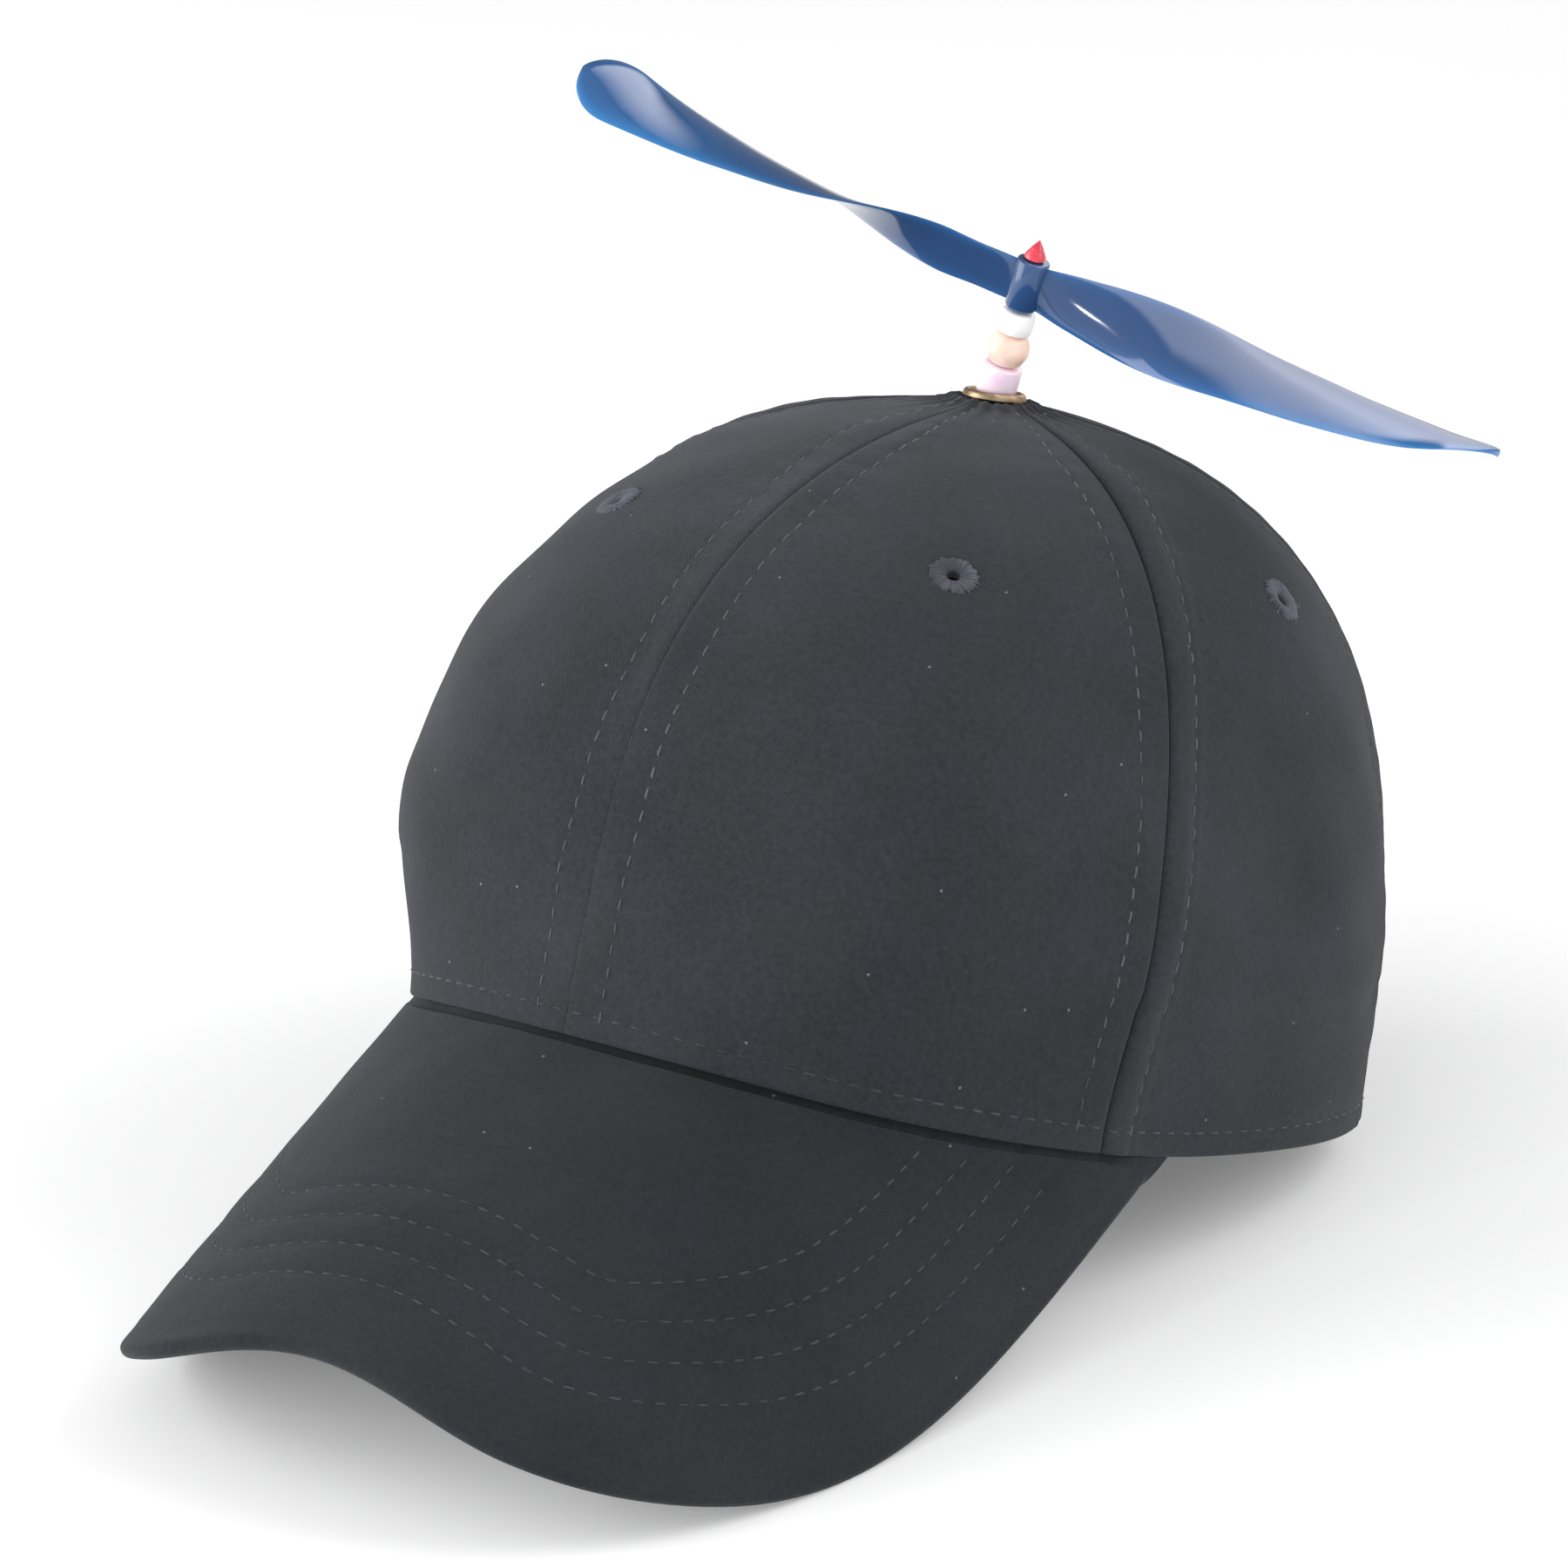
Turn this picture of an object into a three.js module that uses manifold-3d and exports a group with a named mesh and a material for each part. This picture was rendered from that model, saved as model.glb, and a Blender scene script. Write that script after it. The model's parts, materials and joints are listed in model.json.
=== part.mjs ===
// Propeller cap: six sewn cloth panels, a curved peak, and a beaded stem that carries a two-blade propeller.
// Millimetres, +Z up. The cap's front faces -Y, and +X is the wearer's left.
// The cap is drawn in the frame of its rim, then tilted so that it stands by itself: on the two low corners
// of the peak and on the back of the rim, which is cloth and lies flat where it rests.

import * as THREE from "three";
import { mergeVertices } from "three/addons/utils/BufferGeometryUtils.js";
import Module from "manifold-3d";

const wasm = await Module();
wasm.setup();

// Driving dimensions of the crown
const GAP = 0.3; // clearance between neighbouring pieces
const CROWN_HEIGHT = 130.4;
const CROWN_WALL = 1.8;
const APEX_SHIFT = -1; // the top lies this far in front of the rim's centre
const RIM_ARCH = 14.2; // the rim rises this much over the peak
const TOP_HOLE = 3.4; // radius of the hole that the grommet lines
const NUB = { rise: 1.4, radius: 11 }; // the cloth gathers up round the grommet

// One row for each way from the crown's axis: half size where the crown is widest, the two powers
// of its profile, and the power that squares its plan
const PROFILE = {
  front: { radius: 111.5, rise: 3.1, close: 1.76, plan: 2.8 },
  side: { radius: 85.4, rise: 4, close: 2.02 },
  back: { radius: 94.6, rise: 2.3, close: 2.45, plan: 2 },
};

// The sweatband and the ends of the peak pull the rim in: share of the radius, by degrees from the front
const RIM_TUCK = [
  { at: 0, value: -0.026 },
  { at: 30, value: 0.044 },
  { at: 60, value: 0.1 },
  { at: 90, value: 0.07 },
  { at: 125, value: -0.006 },
  { at: 180, value: 0.006 },
];
const TUCK_ENDS = { from: 0, to: 0.36 }; // the pull fades out between these shares of the height

// Panels lie between seams, and each has an eyelet, given in degrees from the front towards the wearer's left
const SEAM = { front: 0, side: 66.9, rear: 126, back: 180 };
const PANELS = [
  { place: "front_left", from: SEAM.front, to: SEAM.side, eyelet: 35 },
  { place: "side_left", from: SEAM.side, to: SEAM.rear, eyelet: 98 },
  { place: "back_left", from: SEAM.rear, to: SEAM.back, eyelet: 153 },
  { place: "back_right", from: -SEAM.back, to: -SEAM.rear, eyelet: -153 },
  { place: "side_right", from: -SEAM.rear, to: -SEAM.side, eyelet: -98 },
  { place: "front_right", from: -SEAM.side, to: SEAM.front, eyelet: -35 },
];
const LOW_ROWS = [0, 0.07, 0.14, 0.212, 0.29]; // heights of the rows that the sweatband shapes, as shares
const UPPER_ROWS = 9; // from the last of those to the top hole
const ROW_POWER = 1.3; // spreads the upper rows evenly round the profile
const PANEL_COLUMNS = 6; // between the welts
const WIDTH_CHORDS = 12; // a panel's width is measured along this many chords

// The turned-in cloth beside each seam is a raised welt: distance from the seam, and height over the panel
const WELT = [
  { away: GAP / 2, lift: -0.5 },
  { away: 1.4, lift: 0.5 },
  { away: 5.6, lift: 0.45 },
  { away: 7.6, lift: 0 },
];
const WELT_FULL_WIDTH = 40; // panels narrower than this, near the top, have narrower and lower welts

const EYELET = { outer: 4.4, hole: 1.7, base: 0.28, height: 1.1, flank: 0.9, lip: 0.5, level: 0.8 };
const SWEATBAND = { wall: 1.2, foot: 0.6, clearance: 0.7, steps: 60, rows: 4 };

// Driving dimensions of the peak
const PEAK = {
  reach: 66.5, // how far its middle goes out in front of the rim
  droop: 38.9, // degrees below the rim's plane
  endBearing: 77.4, // degrees from the front to where it leaves the rim
  thickness: 3.6,
  cornerPower: 3.6, // squareness of its outline
  columns: 28,
  rows: [0, 0.16, 0.34, 0.52, 0.7, 0.86, 0.97, 1],
  edgeBevel: 0.28, // share of the thickness taken off each face at the edge
};
const OUTLINE_START = 0.14; // radians of the outline's round that the side edge replaces

const REST_TILT = 15.3; // degrees that the front is lifted when the cap stands on a floor

// Driving dimensions of the stem and the propeller
const STEM_LEAN = { left: 15.8, forward: 9 }; // degrees from the crown's axis
const PIN = { radius: 1, headRadius: 4.4, headTop: -5.6, headThickness: 1, end: 31 };
const PIN_HOLE = PIN.radius + GAP;
const GROMMET = {
  barrel: 2.4,
  barrelDepth: 3.4,
  floor: 0.6,
  outer: 6.2,
  rollWidth: 1.4,
  rollHeight: 1.3,
  rollSteps: 6,
};
// Pieces threaded on the pin, from the grommet up: length, radius at the ends and at the middle
const THREADED = [
  { name: "sleeve_pink", length: 6.2, end: 3.8, middle: 3.95, finish: "pink" },
  { name: "bead_peach", length: 6.3, end: 2.9, middle: 4.1, finish: "peach" },
  { name: "sleeve_white", length: 4.6, end: 3.3, middle: 3.5, finish: "white" },
];
const THREADED_STEPS = 5; // along each piece's profile
const THREADED_EDGE = 0.25; // taken off the radius at each end, which is rounded
const HUB = { radius: 3.2, height: 10.5, chamfer: 0.8, edge: 0.3 };
const TIP = { radius: 2.1, skirt: 0.5, height: 3.9, point: 0.2, socket: 2.2 };

const BLADE = { halfSpan: 98.5, turn: 14.7, stations: 14 };
const BLADE_SECTION = { thickness: 1.5, edgeShare: 0.35, camber: 0.07, camberFrom: 0.2 };
const BLADE_TIP = { start: 0.9, end: 0.14 }; // the tip is rounded from one share of the chord to the other
const BLADE_FLICK = { rise: 5.4, power: 5 }; // the tips curl up
const BLADE_MIDDLE = 5.3; // height of the blades' middle over the foot of the hub
// Blade sections by share of the half span: chord, and twist in degrees from the propeller's plane
const BLADE_CHORD = [
  { at: 0, value: 8.5 },
  { at: 0.1, value: 10.5 },
  { at: 0.2, value: 13 },
  { at: 0.44, value: 17.8 },
  { at: 0.65, value: 20 },
  { at: 0.83, value: 21 },
  { at: 1, value: 19.5 },
];
const BLADE_TWIST = [
  { at: 0, value: 90 },
  { at: 0.1, value: 71 },
  { at: 0.2, value: 62 },
  { at: 0.44, value: 20.5 },
  { at: 0.65, value: 5 },
  { at: 0.83, value: -5 },
  { at: 1, value: -19 },
];

const FINISH = {
  cloth: { color: 0x43464a, roughness: 0.95 },
  thread: { color: 0x3c4148, roughness: 0.8 },
  brass: { color: 0x9a7b4a, roughness: 0.35, metalness: 1 },
  steel: { color: 0xb8bcc0, roughness: 0.4, metalness: 1 },
  pink: { color: 0xf9e3f1, roughness: 0.4 },
  peach: { color: 0xffdccb, roughness: 0.4 },
  white: { color: 0xf8f7f5, roughness: 0.4 },
  blue: { color: 0x2f5fa0, roughness: 0.2 },
  red: { color: 0xe83a4e, roughness: 0.3 },
};
const SIDES = { bead: 18, ring: 24, eyelet: 14, pin: 12 };

const UP = new THREE.Vector3(0, 0, 1);
const HALVINGS = 40; // of a range, to find a place by bisection
const rad = THREE.MathUtils.degToRad;

// Smooth value of a table of { at, value } rows, with each row's slope taken from its neighbours
function tableValue(rows, at) {
  const last = rows.length - 1;
  const slope = (i) => {
    if (i === 0 || i === last) return 0;
    return (rows[i + 1].value - rows[i - 1].value) / (rows[i + 1].at - rows[i - 1].at);
  };
  let i = 0;
  while (i < last - 1 && at > rows[i + 1].at) i += 1;
  const span = rows[i + 1].at - rows[i].at;
  const t = THREE.MathUtils.clamp((at - rows[i].at) / span, 0, 1);
  const rest = 1 - t;
  return (
    rows[i].value * (1 + 2 * t) * rest * rest +
    rows[i + 1].value * (3 - 2 * t) * t * t +
    (slope(i) * rest - slope(i + 1) * t) * t * rest * span
  );
}

// Factor that turns a unit circle's point (c, s) into a point of a squared-off circle
function squared(c, s, power) {
  return (Math.abs(c) ** power + Math.abs(s) ** power) ** (-1 / power);
}

function profileRadius(profile, height) {
  return profile.radius * (1 - height ** profile.rise) ** (1 / profile.close);
}

// Crown's outer surface. The bearing is in radians from the front towards the wearer's left, and the height
// is the share of the way from the rim to the top
function crownPoint(bearing, height) {
  const level = THREE.MathUtils.clamp(height, 0, 1);
  const c = Math.cos(bearing);
  const s = Math.sin(bearing);
  const along = c > 0 ? PROFILE.front : PROFILE.back;
  const power = 2 + (along.plan - 2) * (1 - level * level);
  const degrees = THREE.MathUtils.radToDeg(Math.acos(c));
  const fade = 1 - THREE.MathUtils.smoothstep(level, TUCK_ENDS.from, TUCK_ENDS.to);
  const tuck = tableValue(RIM_TUCK, degrees) * fade;
  const size = squared(c, s, power) * (1 - tuck);
  const x = profileRadius(PROFILE.side, level) * s * size;
  const y = -profileRadius(along, level) * c * size;
  const rim = RIM_ARCH * Math.max(c, 0) ** 2;
  const nub = NUB.rise * Math.exp(-(x * x + y * y) / NUB.radius ** 2);
  return new THREE.Vector3(x, y + APEX_SHIFT * level, rim * (1 - level) + CROWN_HEIGHT * level + nub);
}

function crownNormal(bearing, height) {
  const step = 1e-3;
  const low = Math.max(height - step, 0);
  const high = Math.min(height + step, 1 - step * step);
  const round = crownPoint(bearing + step, height).sub(crownPoint(bearing - step, height));
  const upward = crownPoint(bearing, high).sub(crownPoint(bearing, low));
  return round.cross(upward).normalize();
}

// Height at which the crown, at one bearing, closes in to the hole for the grommet
function heightOfTopHole(bearing) {
  let low = LOW_ROWS[LOW_ROWS.length - 1];
  let high = 1;
  for (let i = 0; i < HALVINGS; i += 1) {
    const middle = (low + high) / 2;
    const point = crownPoint(bearing, middle);
    const away = Math.hypot(point.x, point.y - APEX_SHIFT * middle);
    if (away > TOP_HOLE) low = middle;
    else high = middle;
  }
  return low;
}

function rowHeight(bearing, row) {
  if (row < LOW_ROWS.length) return LOW_ROWS[row];
  const bottom = Math.asin(LOW_ROWS[LOW_ROWS.length - 1] ** ROW_POWER);
  const top = Math.asin(heightOfTopHole(bearing) ** ROW_POWER);
  const share = (row + 1 - LOW_ROWS.length) / UPPER_ROWS;
  return Math.sin(bottom + (top - bottom) * share) ** (1 / ROW_POWER);
}

// Where a point of the cap lies over the floor, up to a constant, once the cap is tilted
function floorHeight(point) {
  return point.z * Math.cos(rad(REST_TILT)) - point.y * Math.sin(rad(REST_TILT));
}

// Soft cloth that would reach below the floor is pushed up to it
function pressed(point, floor) {
  const low = floor - floorHeight(point);
  if (low > 0) point.z += low / Math.cos(rad(REST_TILT));
  return point;
}

function meshFromFaces(points, faces) {
  const geometry = new THREE.BufferGeometry();
  geometry.setAttribute("position", new THREE.Float32BufferAttribute(points.flatMap((p) => p.toArray()), 3));
  geometry.setIndex(faces.flat());
  return geometry;
}

// Closed shell between two grids of points, outer[column][row] and inner[column][row].
// Columns run anticlockwise as seen from outside and rows run up; wrapped columns close into a ring.
function shell(outer, inner, wrapped = false) {
  const columns = outer.length;
  const rows = outer[0].length;
  const points = [...outer.flat(), ...inner.flat()];
  const out = (i, j) => (i % columns) * rows + j;
  const inn = (i, j) => columns * rows + (i % columns) * rows + j;
  const faces = [];
  const quad = (a, b, c, d) => faces.push([a, b, c], [a, c, d]);
  const steps = wrapped ? columns : columns - 1;
  for (let i = 0; i < steps; i += 1) {
    for (let j = 0; j < rows - 1; j += 1) {
      quad(out(i, j), out(i + 1, j), out(i + 1, j + 1), out(i, j + 1));
      quad(inn(i, j), inn(i, j + 1), inn(i + 1, j + 1), inn(i + 1, j));
    }
    quad(out(i, 0), inn(i, 0), inn(i + 1, 0), out(i + 1, 0));
    quad(out(i, rows - 1), out(i + 1, rows - 1), inn(i + 1, rows - 1), inn(i, rows - 1));
  }
  if (!wrapped) {
    for (let j = 0; j < rows - 1; j += 1) {
      quad(out(0, j), out(0, j + 1), inn(0, j + 1), inn(0, j));
      quad(out(steps, j), inn(steps, j), inn(steps, j + 1), out(steps, j + 1));
    }
  }
  return meshFromFaces(points, faces);
}

// Solid of revolution about +Z from a profile of [radius, z] points that runs up the outside
function turned(profile, sides) {
  const geometry = new THREE.LatheGeometry(profile.map(([r, z]) => new THREE.Vector2(r, z)), sides);
  return geometry.rotateX(Math.PI / 2);
}

function solidOf(geometry) {
  const bare = new THREE.BufferGeometry();
  bare.setAttribute("position", geometry.getAttribute("position").clone());
  bare.setIndex(geometry.getIndex());
  const merged = mergeVertices(bare, 1e-4);
  const triangles = [];
  const index = merged.getIndex().array;
  for (let i = 0; i < index.length; i += 3) {
    const [a, b, c] = [index[i], index[i + 1], index[i + 2]];
    if (a !== b && b !== c && c !== a) triangles.push(a, b, c);
  }
  return new wasm.Manifold(
    new wasm.Mesh({
      numProp: 3,
      vertProperties: new Float32Array(merged.getAttribute("position").array),
      triVerts: new Uint32Array(triangles),
    }),
  );
}

function geometryOf(solid) {
  const mesh = solid.getMesh();
  const geometry = new THREE.BufferGeometry();
  geometry.setAttribute("position", new THREE.Float32BufferAttribute(mesh.vertProperties, 3));
  geometry.setIndex(Array.from(mesh.triVerts));
  return geometry;
}

function part(name, geometry, finish) {
  geometry.computeVertexNormals();
  const mesh = new THREE.Mesh(geometry, new THREE.MeshStandardMaterial(finish));
  mesh.name = name;
  return mesh;
}

// Point of the rim at the middle of the wall, which the peak is sewn under
function rimPoint(bearing) {
  return crownPoint(bearing, 0).addScaledVector(crownNormal(bearing, 0), -CROWN_WALL / 2);
}

// The peak is ruled: from each point of the rim a straight line runs forward and down.
function peakHeight(x, y) {
  let low = -rad(PEAK.endBearing);
  let high = -low;
  for (let i = 0; i < HALVINGS; i += 1) {
    const middle = (low + high) / 2;
    if (rimPoint(middle).x < x) low = middle;
    else high = middle;
  }
  const rim = rimPoint(low);
  return rim.z - GAP - (rim.y - y) * Math.tan(rad(PEAK.droop));
}

function peakTop(x, y) {
  return new THREE.Vector3(x, y, peakHeight(x, y));
}

function peakNormal(x, y) {
  const step = 0.2;
  const side = x > 0 ? -step : step;
  const across = peakTop(x + side, y).sub(peakTop(x, y)).multiplyScalar(Math.sign(side));
  const back = peakTop(x, y + step).sub(peakTop(x, y));
  return across.cross(back).normalize();
}

function makePeak() {
  const end = rimPoint(rad(PEAK.endBearing));
  const front = rimPoint(0).y - PEAK.reach;
  const top = [];
  const bottom = [];
  for (let i = 0; i <= PEAK.columns; i += 1) {
    const share = i / PEAK.columns;
    const base = rimPoint(rad(PEAK.endBearing) * (2 * share - 1));
    const angle = OUTLINE_START + (Math.PI - 2 * OUTLINE_START) * share;
    const [across, along] = [-Math.cos(angle), Math.sin(angle)];
    const round = squared(across, along, PEAK.cornerPower);
    const edge = new THREE.Vector2(end.x * across * round, end.y + (front - end.y) * along * round);
    const upper = [];
    const lower = [];
    // rows run from the edge back to the rim, so that the upper face looks up
    for (const out of [...PEAK.rows].reverse()) {
      const x = THREE.MathUtils.lerp(base.x, edge.x, out);
      const y = THREE.MathUtils.lerp(base.y, edge.y, out);
      const normal = peakNormal(x, y);
      const onEdge = out === 1 || i === 0 || i === PEAK.columns;
      const bevel = onEdge ? PEAK.edgeBevel * PEAK.thickness : 0;
      upper.push(peakTop(x, y).addScaledVector(normal, -bevel));
      lower.push(peakTop(x, y).addScaledVector(normal, bevel - PEAK.thickness));
    }
    top.push(upper);
    bottom.push(lower);
  }
  return shell(top, bottom);
}

// Lift of the cloth at a distance from the nearer seam, on a row of the panel that is so wide
function weltLift(away, width) {
  const full = Math.min(1, width / WELT_FULL_WIDTH);
  return tableValue(WELT.map((row) => ({ at: row.away, value: row.lift })), away / full) * full;
}

function panelColumns(width) {
  const full = Math.min(1, width / WELT_FULL_WIDTH);
  const left = WELT.map((row, i) => (i === 0 ? row.away : row.away * full));
  const inner = left[left.length - 1];
  const middle = [];
  for (let i = 1; i <= PANEL_COLUMNS; i += 1) {
    middle.push(inner + ((width - 2 * inner) * i) / (PANEL_COLUMNS + 1));
  }
  return [...left, ...middle, ...left.map((away) => width - away).reverse()];
}

function makePanel(panel, floor) {
  const [from, to] = [rad(panel.from), rad(panel.to)];
  const outerRows = [];
  const innerRows = [];
  for (let row = 0; row < LOW_ROWS.length + UPPER_ROWS; row += 1) {
    const at = (bearing) => crownPoint(bearing, rowHeight(bearing, row));
    let width = 0;
    const step = (to - from) / WIDTH_CHORDS;
    for (let k = 0; k < WIDTH_CHORDS; k += 1) {
      width += at(from + step * k).distanceTo(at(from + step * (k + 1)));
    }
    const outer = [];
    const inner = [];
    for (const away of panelColumns(width)) {
      const bearing = from + ((to - from) * away) / width;
      const height = rowHeight(bearing, row);
      const normal = crownNormal(bearing, height);
      const lift = weltLift(Math.min(away, width - away), width);
      outer.push(pressed(crownPoint(bearing, height).addScaledVector(normal, lift), floor));
      inner.push(pressed(crownPoint(bearing, height).addScaledVector(normal, -CROWN_WALL), floor));
    }
    outerRows.push(outer);
    innerRows.push(inner);
  }
  const byColumn = (rows) => rows[0].map((_, i) => rows.map((row) => row[i]));
  const cloth = solidOf(shell(byColumn(outerRows), byColumn(innerRows)));
  const { point, normal } = eyeletSeat(panel);
  const drillLength = 6 * CROWN_WALL;
  const drill = new THREE.CylinderGeometry(EYELET.hole + GAP, EYELET.hole + GAP, drillLength, SIDES.eyelet);
  drill.rotateX(Math.PI / 2);
  drill.applyQuaternion(new THREE.Quaternion().setFromUnitVectors(UP, normal));
  drill.translate(point.x, point.y, point.z);
  return geometryOf(cloth.subtract(solidOf(drill)));
}

function eyeletSeat(panel) {
  const bearing = rad(panel.eyelet);
  return { point: crownPoint(bearing, EYELET.level), normal: crownNormal(bearing, EYELET.level) };
}

function makeEyelet() {
  const { outer, hole, base, height, flank, lip } = EYELET;
  const shoulder = (base + height) / 2;
  const profile = [
    [hole, base],
    [outer, base],
    [outer, shoulder],
    [outer - flank, height],
    [hole + lip, height],
    [hole, shoulder],
    [hole, base],
  ];
  return turned(profile, SIDES.eyelet);
}

function makeSweatband(floor) {
  const outer = [];
  const inner = [];
  for (let i = 0; i < SWEATBAND.steps; i += 1) {
    const bearing = (2 * Math.PI * i) / SWEATBAND.steps;
    const outside = [];
    const inside = [];
    for (let row = 0; row < SWEATBAND.rows; row += 1) {
      const height = row === 0 ? SWEATBAND.foot / CROWN_HEIGHT : LOW_ROWS[row];
      const normal = crownNormal(bearing, height);
      const depth = CROWN_WALL + SWEATBAND.clearance;
      const lifted = floor + SWEATBAND.foot;
      const near = crownPoint(bearing, height).addScaledVector(normal, -depth);
      const far = crownPoint(bearing, height).addScaledVector(normal, -depth - SWEATBAND.wall);
      outside.push(pressed(near, lifted));
      inside.push(pressed(far, lifted));
    }
    outer.push(outside);
    inner.push(inside);
  }
  return shell(outer, inner, true);
}

function makeGrommet() {
  const { barrel, barrelDepth, floor, outer, rollWidth, rollHeight, rollSteps } = GROMMET;
  const profile = [
    [barrel, -barrelDepth],
    [TOP_HOLE - GAP, -barrelDepth],
    [TOP_HOLE - GAP, 0],
  ];
  // the rolled rim is half an ellipse that ends on the ring's floor
  const lastAngle = Math.PI - Math.asin(floor / rollHeight);
  for (let i = 0; i <= rollSteps; i += 1) {
    const angle = (lastAngle * i) / rollSteps;
    profile.push([outer - (rollWidth / 2) * (1 - Math.cos(angle)), rollHeight * Math.sin(angle)]);
  }
  profile.push([barrel, floor], [barrel, -barrelDepth]);
  return turned(profile, SIDES.ring);
}

function makeThreaded(piece) {
  const { length, end, middle } = piece;
  const profile = [[PIN_HOLE, 0]];
  for (let i = 0; i <= THREADED_STEPS; i += 1) {
    const share = i / THREADED_STEPS;
    const edge = i === 0 || i === THREADED_STEPS ? THREADED_EDGE : 0;
    profile.push([end + (middle - end) * Math.sin(Math.PI * share) - edge, length * share]);
  }
  profile.push([PIN_HOLE, length], [PIN_HOLE, 0]);
  return turned(profile, SIDES.bead);
}

// The lowest sleeve stands on the grommet's floor, which the leaning pin meets at a slant
function slantFoot(geometry, crownAxis) {
  const position = geometry.getAttribute("position");
  for (let i = 0; i < position.count; i += 1) {
    if (Math.abs(position.getZ(i)) > 1e-6) continue;
    const across = position.getX(i) * crownAxis.x + position.getY(i) * crownAxis.y;
    position.setZ(i, -across / crownAxis.z);
  }
  return geometry;
}

function makePin() {
  const { radius, headRadius, headTop, headThickness, end } = PIN;
  const profile = [
    [0, headTop - headThickness],
    [headRadius, headTop - headThickness],
    [headRadius, headTop],
    [radius, headTop],
    [radius, end],
    [0, end],
  ];
  return turned(profile, SIDES.pin);
}

function makeTip() {
  const { radius, skirt, height, point, socket } = TIP;
  const profile = [
    [0, socket],
    [PIN_HOLE, socket],
    [PIN_HOLE, 0],
    [radius, 0],
    [radius, skirt],
    [point, height],
    [0, height],
  ];
  return turned(profile, SIDES.bead);
}

// One blade along +X, from inside the hub to its rounded tip. Its sections are thin cambered lenses.
function makeBlade() {
  const { thickness, edgeShare, camber, camberFrom } = BLADE_SECTION;
  const chordSteps = [-1, -0.55, 0, 0.55, 1];
  const loop = [
    ...chordSteps.map((along) => ({ along, face: -1 })),
    ...chordSteps.slice(1, -1).reverse().map((along) => ({ along, face: 1 })),
  ];
  const points = [];
  const start = PIN.radius / BLADE.halfSpan;
  for (let i = 0; i <= BLADE.stations; i += 1) {
    const out = start + (1 - start) * Math.sin((Math.PI / 2) * (i / BLADE.stations));
    const past = Math.max(0, (out - BLADE_TIP.start) / (1 - BLADE_TIP.start));
    const round = Math.max(BLADE_TIP.end, Math.sqrt(1 - past * past));
    const half = (tableValue(BLADE_CHORD, out) * round) / 2;
    const twist = rad(tableValue(BLADE_TWIST, out));
    const chordWay = new THREE.Vector3(0, Math.cos(twist), Math.sin(twist));
    const faceWay = new THREE.Vector3(0, -Math.sin(twist), Math.cos(twist));
    const middle = new THREE.Vector3(out * BLADE.halfSpan, 0, BLADE_FLICK.rise * out ** BLADE_FLICK.power);
    for (const { along, face } of loop) {
      const bulge = 1 - along * along;
      const bow = camber * 2 * half * bulge * Math.min(1, out / camberFrom);
      const side = Math.abs(along) === 1 ? 0 : face;
      const thick = side * (thickness / 2) * (edgeShare + (1 - edgeShare) * bulge);
      const point = middle.clone().addScaledVector(chordWay, along * half);
      points.push(point.addScaledVector(faceWay, bow + thick));
    }
  }
  const count = loop.length;
  const faces = [];
  for (let i = 0; i < BLADE.stations; i += 1) {
    for (let k = 0; k < count; k += 1) {
      const [a, b] = [i * count + k, i * count + ((k + 1) % count)];
      faces.push([a, b, b + count], [a, b + count, a + count]);
    }
  }
  for (let k = 1; k < count - 1; k += 1) {
    const last = BLADE.stations * count;
    faces.push([0, k + 1, k], [last, last + k, last + k + 1]);
  }
  return meshFromFaces(points, faces);
}

function makePropeller() {
  const { radius, height, chamfer, edge } = HUB;
  const profile = [
    [0, 0],
    [radius - chamfer, 0],
    [radius, chamfer],
    [radius, height - edge],
    [radius - edge, height],
    [0, height],
  ];
  const bore = new THREE.CylinderGeometry(PIN_HOLE, PIN_HOLE, 3 * height, SIDES.pin).rotateX(Math.PI / 2);
  let solid = solidOf(turned(profile, SIDES.bead));
  for (const turn of [0, Math.PI]) {
    solid = solid.add(solidOf(makeBlade().translate(0, 0, BLADE_MIDDLE).rotateZ(turn + rad(BLADE.turn))));
  }
  return geometryOf(solid.subtract(solidOf(bore)));
}

// Assembly: cloth, peak and grommet in the rim's frame, then the leaning stem on top
const cap = new THREE.Group();
cap.rotation.x = -rad(REST_TILT);

const peak = makePeak();
const peakPosition = peak.getAttribute("position");
let floor = Infinity;
for (let i = 0; i < peakPosition.count; i += 1) {
  floor = Math.min(floor, floorHeight(new THREE.Vector3().fromBufferAttribute(peakPosition, i)));
}

for (const panel of PANELS) {
  cap.add(part(`panel_${panel.place}`, makePanel(panel, floor), FINISH.cloth));
  const eyelet = part(`eyelet_${panel.place}`, makeEyelet(), FINISH.thread);
  const { point, normal } = eyeletSeat(panel);
  eyelet.position.copy(point);
  eyelet.quaternion.setFromUnitVectors(UP, normal);
  cap.add(eyelet);
}
cap.add(part("peak", peak, FINISH.cloth));
cap.add(part("sweatband", makeSweatband(floor), FINISH.cloth));

const grommet = part("grommet", makeGrommet(), FINISH.brass);
const holeEdge = crownPoint(0, heightOfTopHole(0));
grommet.position.set(0, APEX_SHIFT, holeEdge.z + GAP);
cap.add(grommet);

const stem = new THREE.Group();
stem.position.set(0, APEX_SHIFT, grommet.position.z + GROMMET.floor);
const lean = new THREE.Vector3(Math.tan(rad(STEM_LEAN.left)), -Math.tan(rad(STEM_LEAN.forward)), 1);
stem.quaternion.setFromUnitVectors(UP, lean.normalize());
cap.add(stem);

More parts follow.
